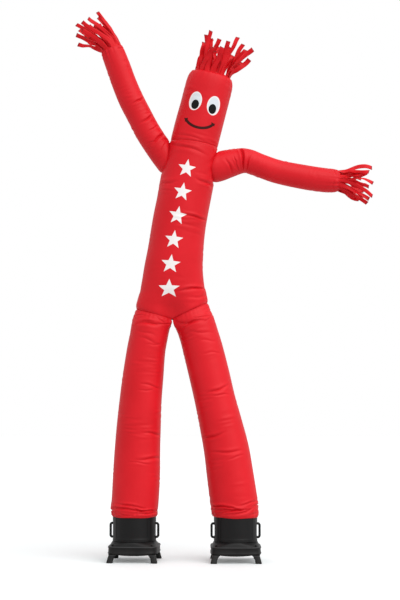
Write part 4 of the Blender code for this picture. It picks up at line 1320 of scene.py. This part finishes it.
# ---- finishes ----
@dataclass(frozen=True)
class Nylon:
    """Thin, tightly woven red nylon with a soft shine, sewn with twin rows of red thread."""

    name: str
    prints: tuple[Ink, ...] = ()        # in the order that they are laid
    edge: Edge = Edge.SEWN
    red: Colour = (0.780, 0.0105, 0.0200)
    deep: Colour = (0.680, 0.0070, 0.0140)      # in its darker clouds

    THREAD, SCORCHED = (0.560, 0.012, 0.020), (0.260, 0.020, 0.022)
    ROUGH, CLOUD_ROUGH, FINE_ROUGH = 0.38, 0.10, 0.06
    CLOUDS, FINE, CRUMPLES, SLACK = 3.0, 260.0, 30.0, 8.0       # features to the metre
    CRUMPLE_HIGH, SLACK_HIGH, WEAVE_HIGH = 0.0009, 0.0020, 0.00003      # heights in metres
    WEAVE = 0.0011              # spacing of the threads
    BURN, BURN_SOFT, BURNT = 0.009, 0.010, 0.75         # reach and strength of the dark cut edge
    ROWS, ROW_HALF, ROW_SOFT = (0.009, 0.0145), 0.0007, 0.0006          # twin rows beside a seam
    STITCH, DASH, DASH_SOFT, STITCH_HIGH = 0.0042, 0.36, 0.12, 0.0006   # length, share and height
    INK_HIGH = 0.00015
    GLOSS = 0.22

    def material(self) -> bpy.types.Material:
        """Build the material.

        Returns:
            The finished material.
        """
        graph = Graph(self.name)
        cloth, solid = graph.node("ShaderNodeUVMap", {"uv_map": "cloth"}, {}), graph.place()
        u, v = graph.axis(cloth, 0), graph.axis(cloth, 1)
        cloudy, fine = graph.noise(solid, self.CLOUDS, 3.0), graph.noise(cloth, self.FINE)
        colour = graph.mix(cloudy.below(0.5, 0.5), self.red, self.deep)
        rough = self.ROUGH + self.CLOUD_ROUGH * cloudy + self.FINE_ROUGH * fine
        crumple = graph.noise(cloth, self.CRUMPLES, 4.0, 0.55) * self.CRUMPLE_HIGH
        slack = graph.noise(solid, self.SLACK) * self.SLACK_HIGH
        weave = (u * (math.tau / self.WEAVE)).sine() * (v * (math.tau / self.WEAVE)).sine()
        height = crumple + slack + weave * self.WEAVE_HIGH
        if self.edge is Edge.CUT:
            burnt = graph.stored("tip").below(self.BURN, self.BURN_SOFT) * self.BURNT
            colour = graph.mix(burnt, colour, self.SCORCHED)
        if self.edge is Edge.SEWN:
            stitches = self.stitches(graph, "ring_seam", u).most(self.stitches(graph, "back_seam", v))
            colour = graph.mix(stitches, colour, self.THREAD)
            height = height + stitches * self.STITCH_HIGH
        for ink in self.prints:
            mask = ink.shapes[0].mask(u, v)
            for shape in ink.shapes[1:]:
                mask = mask.most(shape.mask(u, v))
            colour = graph.mix(mask, colour, ink.colour)
            rough = rough + mask * (ink.rough - 0.45)
            height = height + mask * self.INK_HIGH
        graph.plug(Base_Color=colour, Roughness=rough, Normal=graph.bump(height))
        graph.fix({"Specular IOR Level": self.GLOSS})
        return graph.material

    def stitches(self, graph: Graph, seam: str, along: Wire) -> Wire:
        """Two rows of stitches beside a seam.

        Args:
            graph: The material's nodes.
            seam: Name of the number that holds the distance from the seam.
            along: Distance along the seam.

        Returns:
            1 on the thread.
        """
        away = graph.stored(seam)
        near, far = (abs(away - row) for row in self.ROWS)
        dash = abs((along * (1.0 / self.STITCH)).part() - 0.5).below(self.DASH, self.DASH_SOFT)
        return near.maths("MINIMUM", far).below(self.ROW_HALF, self.ROW_SOFT) * dash


@dataclass(frozen=True)
class Plastic:
    """Black moulded plastic with a fine grain; given edges are paler, partly rubbed wear and partly a
    painted highlight.
    """

    name: str
    colour: Colour = (0.0040, 0.0040, 0.0043)
    rough: float = 0.40
    rubbed_and_highlit: tuple[float, ...] = ()      # heights of the edges that are rubbed and carry a painted highlight

    # the second colour is for rubbed edges, and it also serves as a painted highlight along the base's lip
    DUST, RUBBED = (0.045, 0.042, 0.038), (0.058, 0.058, 0.060)
    PATCHES, GRAIN, SCUFFS = 7.0, 900.0, (40.0, 40.0, 400.0)    # features to the metre
    PATCH_HIGH, GRAIN_HIGH = 0.0006, 0.00012    # heights in metres
    DUSTY, DUSTY_SOFT, DUST_COVER = 0.16, 0.22, 0.30    # height and strength of the dust from the floor
    WORN, WORN_SOFT = 0.0026, 0.0040
    GLOSS = 0.26

    def material(self) -> bpy.types.Material:
        """Build the material.

        Returns:
            The finished material.
        """
        graph = Graph(self.name)
        solid = graph.place()
        height = graph.axis(solid, 2)
        patch, grain = graph.noise(solid, self.PATCHES, 4.0, 0.6), graph.noise(solid, self.GRAIN)
        streaks = graph.node("ShaderNodeMapping", {}, {"Vector": solid, "Scale": self.SCUFFS})
        scuff = graph.noise(streaks, 1.0, 3.0)
        dust = height.below(self.DUSTY, self.DUSTY_SOFT) * patch.below(0.52, 0.3)
        pale = tuple(channel * 2.2 + 0.004 for channel in self.colour)
        colour = graph.mix(dust * self.DUST_COVER, graph.mix(patch * 0.3, self.colour, pale), self.DUST)
        # paler bands at the given heights: rubbed wear, and a painted highlight along the base's lip
        for edge in self.rubbed_and_highlit:
            worn_and_highlit = abs(height - edge).below(self.WORN, self.WORN_SOFT) * (0.85 + 0.6 * (patch - 0.5))
            colour = graph.mix(worn_and_highlit, colour, self.RUBBED)
        rough = self.rough + 0.10 * (patch - 0.5) + 0.16 * dust + 0.05 * (scuff - 0.5)
        normal = graph.bump(grain * self.GRAIN_HIGH + patch * self.PATCH_HIGH)
        graph.plug(Base_Color=colour, Roughness=rough, Normal=normal)
        graph.fix({"Specular IOR Level": self.GLOSS})
        return graph.material


@dataclass(frozen=True)
class Steel:
    """Bright zinc-plated steel with fine swirls."""

    name: str
    tone: float = 0.45

    SWIRLS, SWIRL_HIGH = 300.0, 0.00008
    ROUGH, SWIRL_ROUGH, SHADE = 0.28, 0.25, 0.75

    def material(self) -> bpy.types.Material:
        """Build the material.

        Returns:
            The finished material.
        """
        graph = Graph(self.name)
        swirl = graph.noise(graph.place(), self.SWIRLS, 3.0, 0.6)
        colour = graph.mix(swirl, (self.tone,) * 3, (self.tone * self.SHADE,) * 3)
        graph.plug(Base_Color=colour, Roughness=self.ROUGH + self.SWIRL_ROUGH * swirl,
                   Normal=graph.bump(swirl * self.SWIRL_HIGH))
        graph.fix({"Metallic": 1.0})
        return graph.material


@dataclass(frozen=True)
class Floor:
    """Smooth white studio floor, which throws less light up than it shows."""

    name: str
    thrown: float = 0.58        # share of the light that goes back up
    glow: float = 0.14          # how much brighter than lit it shows

    WHITES = ((0.90, 0.935, 0.94), (0.87, 0.905, 0.91))

    def material(self) -> bpy.types.Material:
        """Build the material.

        Returns:
            The finished material.
        """
        graph = Graph(self.name)
        white = graph.mix(graph.noise(graph.place(), 2.0, 3.0), *self.WHITES)
        seen = graph.node("ShaderNodeLightPath", {}, {}, "Is Camera Ray")
        graph.plug(Base_Color=graph.mix(seen, (self.thrown,) * 3, white),
                   Emission_Color=graph.mix(seen, (0.0, 0.0, 0.0), (1.0, 1.0, 1.0)))
        graph.fix({"Emission Strength": self.glow, "Roughness": 0.6, "Specular IOR Level": 0.2})
        return graph.material


# ---- prints ----
RIBBON_RED, RIBBON_DEEP = (0.800, 0.0080, 0.0160), (0.690, 0.0035, 0.0090)
WHITE, PUPIL, LIPS = (0.97, 0.93, 0.92), (0.002, 0.003, 0.003), (0.048, 0.002, 0.001)
EYE_SHADE = (0.770, 0.820, 0.860)

# places and sizes as seen from the front: (x, z) and (width, height)
EYES, EYE_LEAN = ((-0.300, 4.700), (-0.117, 4.652)), 0.03
EYE_SIZE, SHADE_SIZE, SHADE_UP = (0.134, 0.198), (0.108, 0.172), 0.004
PUPILS, PUPIL_SIZE, PUPIL_ROUGH = ((-0.304, 4.664), (-0.128, 4.618)), (0.080, 0.102), 0.35
SMILE, SMILE_THICK = ((-0.397, 4.515), (-0.121, 4.462), (-0.239, 4.419)), 0.028      # ends and middle
TICKS, TICK_THICK = (((-0.405, 4.498), (-0.385, 4.521)), ((-0.133, 4.475), (-0.111, 4.453))), 0.014
STARS, STAR_COUNT, STAR_RADIUS = ((-0.571, 2.770), (-0.390, 4.000)), 6, 0.098


def on_cloth(tube: Tube, spot: tuple[float, float]) -> tuple[float, float]:
    """Places across and up a tube's cloth, in metres, of a spot that is seen from the front."""
    s, angle = tube.locate(*spot, 1)
    return ((BACK_SEAM - angle) / math.tau) % 1.0 * tube.girth, s


def ovals(tube: Tube, spots: Sequence[tuple[float, float]], size: tuple[float, float],
          up: float = 0.0) -> tuple[Oval, ...]:
    """Ovals that show a given width and height from the front.

    Args:
        tube: The tube that they are printed on.
        spots: Their places and heights.
        size: Their width and height.
        up: How far above the spots they are.

    Returns:
        The ovals.
    """
    made = []
    for x, z in spots:
        left, _ = on_cloth(tube, (x - size[0] / 2, z + up))
        right, _ = on_cloth(tube, (x + size[0] / 2, z + up))
        _, v = on_cloth(tube, (x, z + up))
        made.append(Oval(0.5 * (left + right), v, 0.5 * (right - left), size[1] / 2, EYE_LEAN))
    return tuple(made)


def face(head: Tube) -> tuple[Ink, ...]:
    """Print the smiling face: two oval eyes with large pupils, and a curved mouth with creased ends.

    Args:
        head: The head.

    Returns:
        The inks, in the order that they are laid.
    """
    smile = Stroke(*(on_cloth(head, spot) for spot in SMILE), SMILE_THICK)
    ticks = [Stroke(on_cloth(head, start), on_cloth(head, end), None, TICK_THICK) for start, end in TICKS]
    return (Ink(WHITE, ovals(head, EYES, EYE_SIZE)), Ink(EYE_SHADE, ovals(head, EYES, SHADE_SIZE, SHADE_UP)),
            Ink(PUPIL, ovals(head, PUPILS, PUPIL_SIZE), PUPIL_ROUGH), Ink(LIPS, (smile, *ticks)))


def star_column(torso: Tube) -> tuple[Ink, ...]:
    """A column of plain white stars up the front."""
    start, end = (on_cloth(torso, spot) for spot in STARS)
    return (Ink(WHITE, (Stars(start, end, STAR_COUNT, STAR_RADIUS),)),)


# ---- blowers ----
class Look(Enum):
    """Materials of a blower, by their number on its pieces."""

    MOULDED = 0
    RUBBER = 1
    STEEL = 2
    BLACK = 3


def loft(bm: bmesh.types.BMesh, x: Array, y: Array, z: Array) -> bmesh.types.BMesh:
    """Add a closed moulding through a stack of rings.

    Args:
        bm: Mesh to add to; nothing in it is open.
        x: Places of the points, a row for each ring.
        y: Places of the points.
        z: Heights of the points.

    Returns:
        The mesh.
    """
    rings = np.stack(np.broadcast_arrays(x, y, z), axis=-1)
    verts = lay_grid(bm, np.concatenate((rings, rings[:, :1]), axis=1))
    bmesh.ops.remove_doubles(bm, verts=verts, dist=MERGE_MOULDING)
    bmesh.ops.holes_fill(bm, edges=[edge for edge in bm.edges if edge.is_boundary], sides=0)
    return bm


def columns(rows: Sequence[tuple[float, ...]]) -> list[Array]:
    """Figures of a table, one upright array for each of its columns."""
    return [np.array(column)[:, None] for column in zip(*rows)]


def squared(half: Array | float, power: Array | float, angle: Array) -> Array:
    """Points of squares with rounded corners; a power of 2 gives a circle."""
    size = half / (np.abs(np.cos(angle)) ** power + np.abs(np.sin(angle)) ** power) ** (1.0 / power)
    return np.stack((size * np.cos(angle), size * np.sin(angle)), axis=-1)


def turns(count: int) -> Array:
    """Angles of the points of one ring."""
    return np.arange(count) * math.tau / count


def shift(x: float, y: float, z: float) -> Matrix:
    """A move to a place."""
    return Matrix.Translation((x, y, z))


def turned(degrees: float, axis: str = "Z") -> Matrix:
    """A turn round one axis."""
    return Matrix.Rotation(math.radians(degrees), 4, axis)


def paint(verts: Sequence[bmesh.types.BMVert], look: Look) -> None:
    """Give the faces of some vertices a look."""
    for face in dict.fromkeys(face for vert in verts for face in vert.link_faces):
        face.material_index = look.value


def ease(bm: bmesh.types.BMesh, edges: Sequence[bmesh.types.BMEdge], offset: float, segments: int) -> None:
    """Round some edges off."""
    bmesh.ops.bevel(bm, geom=edges, offset=offset, offset_type="OFFSET", segments=segments, profile=0.5,
                    affect="EDGES", material=-1)


def add_rod(bm: bmesh.types.BMesh, lie: Matrix, radius: float, length: float, look: Look) -> None:
    """Add a round rod or disc with its edges eased.

    Args:
        bm: Mesh to add to.
        lie: Its place; it runs along Z there.
        radius: Its radius.
        length: Its length.
        look: Its material.
    """
    made = bmesh.ops.create_cone(bm, cap_ends=True, segments=20, radius1=radius, radius2=radius,
                                 depth=length, matrix=lie)["verts"]
    paint(made, look)
    rims = [edge for edge in dict.fromkeys(edge for vert in made for edge in vert.link_edges)
            if len({len(face.verts) for face in edge.link_faces}) == 2]
    ease(bm, rims, min(radius, length) * 0.25, 2)


def add_block(bm: bmesh.types.BMesh, lie: Matrix, size: tuple[float, float, float], look: Look) -> None:
    """Add a small block round a place."""
    made = bmesh.ops.create_cube(bm, size=1.0, matrix=lie @ Matrix.Diagonal((*size, 1.0)))["verts"]
    paint(made, look)


@dataclass
class Blower:
    """One floor blower: a round body on a square base with four feet, two handles and a power inlet."""

    side: str
    x: float
    y: float
    turn: float                 # in degrees

    SHARP = 38.0                # edges of the mouldings sharper than this stay sharp, in degrees
    FACETS = 192                # round the body and the base
    RADIUS, LOW, HIGH = 0.222, 0.205, 0.515     # the round body
    FLAT = 0.2145               # its flats behind the handles, from the axis
    FLAT_LOW, FLAT_HIGH = (0.224, 0.230), (0.396, 0.402)
    RIBS, RIB_STEP = (0.2135, 0.2205, 0.2275), 0.0008
    PANEL_EDGE, PANEL_STEP = math.radians(42), 0.0030
    PANEL_LOW, PANEL_HIGH = (0.2335, 0.2365), (0.492, 0.496)
    GROOVE, GROOVE_WIDTH = 0.0022, 0.008
    # the base from its intake up: height, half width and corner power
    BASE = (
        (0.08, 0.15, 2.0), (0.08, 0.168, 2.0), (0.07, 0.172, 2.0), (0.0665, 0.175, 2.0),
        (0.066, 0.178, 2.0), (0.066, 0.188, 2.0), (0.0672, 0.1905, 2.0), (0.075, 0.1985, 2.0),
        (0.084, 0.205, 2.0), (0.0875, 0.206, 2.0), (0.088, 0.21, 2.0), (0.088, 0.25, 5.0),
        (0.089, 0.2545, 5.0), (0.0915, 0.257, 5.0), (0.095, 0.2575, 5.0), (0.101, 0.2575, 5.0),
        (0.1035, 0.2545, 5.0), (0.106, 0.2535, 5.0), (0.144, 0.2525, 5.0), (0.1465, 0.2535, 5.0),
        (0.148, 0.2568, 5.0), (0.154, 0.2572, 5.0), (0.1575, 0.2566, 5.0), (0.1608, 0.2546, 5.0),
        (0.1635, 0.2512, 5.0), (0.1648, 0.2475, 5.0), (0.165, 0.244, 5.0), (0.164, 0.2415, 4.9),
        (0.165, 0.2385, 4.8), (0.169, 0.2365, 4.6), (0.176, 0.2345, 4.1), (0.184, 0.232, 3.4),
        (0.191, 0.2295, 2.8), (0.197, 0.2268, 2.35), (0.201, 0.2248, 2.1), (0.2036, 0.2232, 2.0),
        (0.2047, 0.2215, 2.0)
    )
    DECK_SCREW, SCREW_RADIUS, SCREW_TILT = (0.284, 0.0, 0.1775), 0.0075, 50
    GUARD_RINGS, WIRE = (0.030, 0.058, 0.086, 0.114, 0.142, 0.165), 0.0019
    GUARD_Z, SPOKE_Z, HUB_Z = 0.070, 0.0735, 0.0755
    SPOKES, SPOKE_TURN, SPOKE_AT, SPOKE = 6, 15, 0.0975, (0.0021, 0.137)    # radius and length
    HUB = (0.034, 0.009)
    HANDLE_Z = (0.243, 0.383)
    REACH, BEND = 0.245, 0.020          # how far out the grips stand, and the radius of their bends
    GRIP, GRIP_POWER = (0.0120, 0.0150), 3.2    # half thickness and half width
    BOSS, BOSS_POWER = (0.0240, 0.0165), 3.5    # half width and half height
    BOSS_ROWS = ((-0.001, 1.0), (0.0025, 1.0), (0.0038, 0.95), (0.0042, 0.86))      # out, share of size
    # a foot from its sole up: height, outside and inside from the axis
    FOOT = (
        (0.0, 0.255, 0.196), (0.0012, 0.257, 0.1935), (0.006, 0.2578, 0.1925),
        (0.011, 0.2572, 0.1925), (0.0122, 0.255, 0.1945), (0.0134, 0.255, 0.1945),
        (0.0146, 0.2562, 0.1925), (0.028, 0.2525, 0.1905), (0.04, 0.2495, 0.1875),
        (0.052, 0.2462, 0.1825), (0.062, 0.2432, 0.1765), (0.069, 0.2412, 0.1705),
        (0.075, 0.24, 0.164), (0.08, 0.2398, 0.158), (0.084, 0.2408, 0.152),
        (0.0877, 0.2435, 0.145)
    )
    FOOT_POWER, SOLE_TOP = 4.0, 0.0128
    INLET_AT, INLET, INLET_EDGE = (0.0, 0.230, 0.260), (0.072, 0.044, 0.050), 0.005
    INSETS = ((0.0035, -0.0012), (0.0060, 0.0), (0.0008, -0.012))       # thickness and depth
    PINS, PIN = ((-0.011, 0.256), (0.0, 0.265), (0.011, 0.256)), (0.0024, 0.012, 0.0060)
    PIN_Y = 0.242

    def build(self) -> None:
        """Build and dress every piece."""
        # the band at 0.1605 paints the highlight along the top lip of the base; 0.0765 is another paler edge
        # band
        looks = (Plastic("moulded_black", rubbed_and_highlit=(0.1605, 0.0765)).material(),
                 Plastic("sole_rubber", (0.014, 0.014, 0.014), 0.75).material(),
                 Steel("screw_steel").material(),
                 Plastic("guard_black", (0.012, 0.012, 0.012), 0.35).material())
        self.add("barrel", self.barrel(), looks)
        self.add("base", self.base(), looks)
        self.add("inlet", self.inlet(), looks)
        for number, sign in ((1, -1), (2, 1)):
            self.add("handle_%d" % number, self.handle(sign), looks)
        for number, corner in enumerate(((-1, -1), (1, -1), (1, 1), (-1, 1)), 1):
            self.add("foot_%d" % number, self.foot(corner), looks)

    def add(self, node: str, bm: bmesh.types.BMesh, looks: Sequence[bpy.types.Material]) -> None:
        """Place one finished piece in its node's stead.

        Args:
            node: Last part of the name of the solid that it replaces.
            bm: Its mesh, round the blower's axis.
            looks: Its materials.
        """
        solid = "%s_blower_%s" % (self.side, node)
        bmesh.ops.recalc_face_normals(bm, faces=bm.faces)
        bm.transform(shift(self.x, self.y, 0.0) @ turned(self.turn))
        piece = add_piece(solid + "_moulding", bm, solid, self.SHARP)
        for look in looks:
            piece.data.materials.append(look)
        LOG.info("%s: %d faces", piece.name, len(piece.data.polygons))

    def barrel(self) -> bmesh.types.BMesh:
        """Make the round body, with side panels, flats behind the handles and ribs at its foot.

        Returns:
            Its mesh.
        """
        low, high, r = self.LOW, self.HIGH, self.RADIUS
        rows = [(low, r - 0.004), (low + 0.0015, r - 0.0012), (low + 0.004, r)]
        for rib in self.RIBS:
            rows += [(rib, r), (rib + 0.0008, r - self.RIB_STEP), (rib + 0.0027, r - self.RIB_STEP),
                     (rib + 0.0035, r)]
        rows += [(z, r) for z in np.linspace(0.234, 0.500, 34)]
        rows += [(0.504, r - 0.0005), (0.508, r - 0.003), (0.5135, r - 0.003), (high, r - 0.005),
                 (high, r - 0.012), (high - 0.004, r - 0.014), (high - 0.010, r - 0.016)]
        z, size = columns(rows)
        angle = turns(self.FACETS)[None, :]
        from_side = np.abs(wrapped(2 * angle)) / 2
        panel = smooth_step(from_side, self.PANEL_EDGE - 0.006, self.PANEL_EDGE + 0.010)
        panel = panel * smooth_step(z, *self.PANEL_LOW) * (1.0 - smooth_step(z, *self.PANEL_HIGH))
        groove = bell(from_side - self.PANEL_EDGE - 0.016, self.GROOVE_WIDTH) * smooth_step(z, 0.234, 0.237)
        out = size - self.PANEL_STEP * panel - self.GROOVE * groove * (z < self.PANEL_HIGH[1])
        near = smooth_step(z, *self.FLAT_LOW) * (1.0 - smooth_step(z, *self.FLAT_HIGH))
        limit = self.FLAT + (r + 0.002 - self.FLAT) * (1.0 - near)
        return loft(bmesh.new(), np.clip(out * np.cos(angle), -limit, limit), out * np.sin(angle), z)

    def base(self) -> bmesh.types.BMesh:
        """Make the base: round intake below, square with a lip, and deck that rises to the body.

        Returns:
            Its mesh.
        """
        z, half, power = columns(self.BASE)
        outline = squared(half, power, turns(self.FACETS)[None, :])
        bm = loft(bmesh.new(), outline[..., 0], outline[..., 1], z)
        for quarter in range(4):
            lie = turned(45 + 90 * quarter) @ shift(*self.DECK_SCREW) @ turned(self.SCREW_TILT, "Y")
            self.screw(bm, lie, self.SCREW_RADIUS)
        self.guard(bm)
        return bm

    def guard(self, bm: bmesh.types.BMesh) -> None:
        """Add wire rings and spokes over the intake, with the hub of the motor above them.

        Args:
            bm: Mesh to add to.
        """
        for radius in self.GUARD_RINGS:
            wire = bmesh.ops.create_circle(bm, segments=8, radius=self.WIRE, cap_ends=False)["verts"]
            bmesh.ops.transform(bm, matrix=shift(radius, 0.0, self.GUARD_Z) @ turned(90, "X"), verts=wire)
            edges = list(dict.fromkeys(edge for vert in wire for edge in vert.link_edges))
            bmesh.ops.spin(bm, geom=wire + edges, cent=(0, 0, 0), axis=(0, 0, 1), angle=math.tau, steps=72,
                           use_merge=True)
            paint(bm.verts[-8:], Look.BLACK)
        for spoke in range(self.SPOKES):
            out = turned(360 / self.SPOKES * spoke + self.SPOKE_TURN)
            lie = out @ shift(self.SPOKE_AT, 0.0, self.SPOKE_Z) @ turned(90, "Y")
            add_rod(bm, lie, *self.SPOKE, Look.BLACK)
        add_rod(bm, shift(0.0, 0.0, self.HUB_Z), *self.HUB, Look.MOULDED)

    def screw(self, bm: bmesh.types.BMesh, lie: Matrix, radius: float) -> None:
        """Add a pan-head screw with a slot, in a shallow boss.

        Args:
            bm: Mesh to add to.
            lie: Its place; it points along Z there.
            radius: Radius of its head.
        """
        add_rod(bm, lie, radius * 1.55, 0.008, Look.MOULDED)
        add_rod(bm, lie @ shift(0.0, 0.0, 0.005), radius, 0.005, Look.BLACK)
        for degrees in (0, 90):
            slot = lie @ shift(0.0, 0.0, 0.0068) @ turned(degrees)
            add_block(bm, slot, (radius * 1.3, radius * 0.28, 0.0016), Look.BLACK)

    def handle(self, sign: int) -> bmesh.types.BMesh:
        """Make a bent grip bar on two bosses.

        Args:
            sign: -1 on the left of the blower and 1 on its right.

        Returns:
            Its mesh.
        """
        low, high = self.HANDLE_Z
        bend, reach = self.BEND, self.REACH
        corner = np.linspace(0.0, math.pi / 2, 9)
        path = [(self.FLAT + t, low) for t in (-0.001, 0.004, 0.010)]
        path += [(reach - bend + bend * math.sin(a), low + bend - bend * math.cos(a)) for a in corner]
        path += [(reach, z) for z in np.linspace(low + bend, high - bend, 10)[1:-1]]
        path += [(reach - bend + bend * math.cos(a), high - bend + bend * math.sin(a)) for a in corner]
        path += [(self.FLAT + t, high) for t in (0.010, 0.004, -0.001)]
        spine = np.array(path)
        ahead = unit(np.gradient(spine, axis=0))
        outline = squared(1.0, self.GRIP_POWER, turns(32))
        thick, wide = self.GRIP[0] * outline[:, 0], self.GRIP[1] * outline[:, 1]
        x = spine[:, None, 0] + ahead[:, None, 1] * thick
        z = spine[:, None, 1] - ahead[:, None, 0] * thick
        bm = loft(bmesh.new(), sign * x, wide, z)
        for height in self.HANDLE_Z:
            self.boss(bm, sign, height)
        return bm

    def boss(self, bm: bmesh.types.BMesh, sign: int, height: float) -> None:
        """Add a rounded plate that carries one end of a handle, with a screw on each side of it.

        Args:
            bm: Mesh to add to.
            sign: -1 on the left of the blower and 1 on its right.
            height: Height of its middle.
        """
        out, share = columns(self.BOSS_ROWS)
        outline = squared(1.0, self.BOSS_POWER, turns(40))
        loft(bm, sign * (self.FLAT + out), self.BOSS[0] * share * outline[:, 0],
             height + self.BOSS[1] * share * outline[:, 1])
        for side in (-1, 1):
            lie = shift(sign * (self.FLAT + 0.0035), 0.0185 * side, height) @ turned(90, "Y")
            add_rod(bm, lie, 0.0032, 0.004, Look.BLACK)

    def foot(self, corner: tuple[int, int]) -> bmesh.types.BMesh:
        """Make a splayed foot with a rubber sole and a gusset under the base.

        Args:
            corner: Its corner of the base, -1 or 1 each way.

        Returns:
            Its mesh.
        """
        z, outer, inner = columns(self.FOOT)
        out = 0.5 * (outer + inner)
        outline = squared(0.5 * (outer - inner), self.FOOT_POWER, turns(48)[None, :])
        bm = loft(bmesh.new(), outline[..., 0] + corner[0] * out, outline[..., 1] + corner[1] * out, z)
        for face in bm.faces:
            sole = face.calc_center_median().z < self.SOLE_TOP
            face.material_index = (Look.RUBBER if sole else Look.MOULDED).value
        return bm

    def inlet(self) -> bmesh.types.BMesh:
        """Make the power inlet: a rounded block with a socket of three pins.

        Returns:
            Its mesh.
        """
        bm = bmesh.new()
        add_block(bm, shift(*self.INLET_AT), self.INLET, Look.MOULDED)
        eased_edges = []
        for edge in bm.edges:
            start, end = (vert.co.y for vert in edge.verts)
            if start != end or start > self.INLET_AT[1]:
                eased_edges.append(edge)
        ease(bm, eased_edges, self.INLET_EDGE, 4)
        back = max(bm.faces, key=lambda face: face.calc_center_median().y)
        for wall, depth in self.INSETS:
            bmesh.ops.inset_individual(bm, faces=[back], thickness=wall, depth=depth, use_even_offset=True)
        for x, z in self.PINS:
            add_block(bm, shift(x, self.PIN_Y, z), self.PIN, Look.STEEL)
        return bm


# ---- studio ----
@dataclass
class Studio:
    """A white studio: floor, even light all round, a large soft key light and a camera."""

    floor_half: float = 40.0
    camera_place: tuple[float, float, float] = (-0.255, -15.0, 1.725)
    camera_pitch: float = 93.6
    lens: float = 87.36
    sensor: float = 36.0
    key_power: float = 1.9
    key_spread: float = 65.0
    key_tilt: float = 45.0
    key_side: float = 40.0
    shown: float = 1.0
    surround: float = 0.68

    def build(self) -> None:
        """Build the floor, the lights and the camera."""
        self.floor()
        self.world()
        self.key()
        self.camera()
        bpy.context.scene.view_settings.view_transform = "Standard"

    def floor(self) -> None:
        """Make a wide flat floor."""
        bm = bmesh.new()
        bmesh.ops.create_grid(bm, x_segments=2, y_segments=2, size=self.floor_half)
        mesh = bpy.data.meshes.new("studio_floor")
        bm.to_mesh(mesh)
        bm.free()
        floor = bpy.data.objects.new("studio_floor", mesh)
        bpy.context.collection.objects.link(floor)
        mesh.materials.append(Floor("studio_white").material())

    def world(self) -> None:
        """Make white surroundings, brighter to the camera than as a light."""
        world = bpy.data.worlds.new("studio")
        world.use_nodes = True
        nodes, links = world.node_tree.nodes, world.node_tree.links
        seen, lit = nodes["Background"], nodes.new("ShaderNodeBackground")
        for background, strength in ((seen, self.shown), (lit, self.surround)):
            background.inputs["Color"].default_value = (1.0, 1.0, 1.0, 1.0)
            background.inputs["Strength"].default_value = strength
        path, mixed = nodes.new("ShaderNodeLightPath"), nodes.new("ShaderNodeMixShader")
        links.new(path.outputs["Is Camera Ray"], mixed.inputs[0])
        links.new(lit.outputs[0], mixed.inputs[1])
        links.new(seen.outputs[0], mixed.inputs[2])
        links.new(mixed.outputs[0], nodes["World Output"].inputs[0])
        bpy.context.scene.world = world

    def key(self) -> None:
        """Make a wide soft light from above, in front and to the right."""
        light = bpy.data.lights.new("key", "SUN")
        light.energy, light.angle = self.key_power, math.radians(self.key_spread)
        lamp = bpy.data.objects.new("key", light)
        lamp.rotation_euler = (math.radians(self.key_tilt), 0.0, math.radians(self.key_side))
        bpy.context.collection.objects.link(lamp)

    def camera(self) -> None:
        """Make a camera at the eye height of a standing person, far off and tilted up a little."""
        lens = bpy.data.cameras.new("camera")
        lens.lens, lens.sensor_width = self.lens, self.sensor
        camera = bpy.data.objects.new("camera", lens)
        camera.location = self.camera_place
        camera.rotation_euler = (math.radians(self.camera_pitch), 0.0, 0.0)
        bpy.context.collection.objects.link(camera)
        bpy.context.scene.camera = camera


def main() -> None:
    """Build the figure, its blowers and the studio."""
    logging.basicConfig(level=logging.INFO, format="%(name)s: %(message)s")
    Figure().build()
    Blower("left", LEFT_X, LEFT_Y, LEFT_TURN).build()
    Blower("right", RIGHT_X, RIGHT_Y, RIGHT_TURN).build()
    Studio().build()


if __name__ == "__main__":
    main()
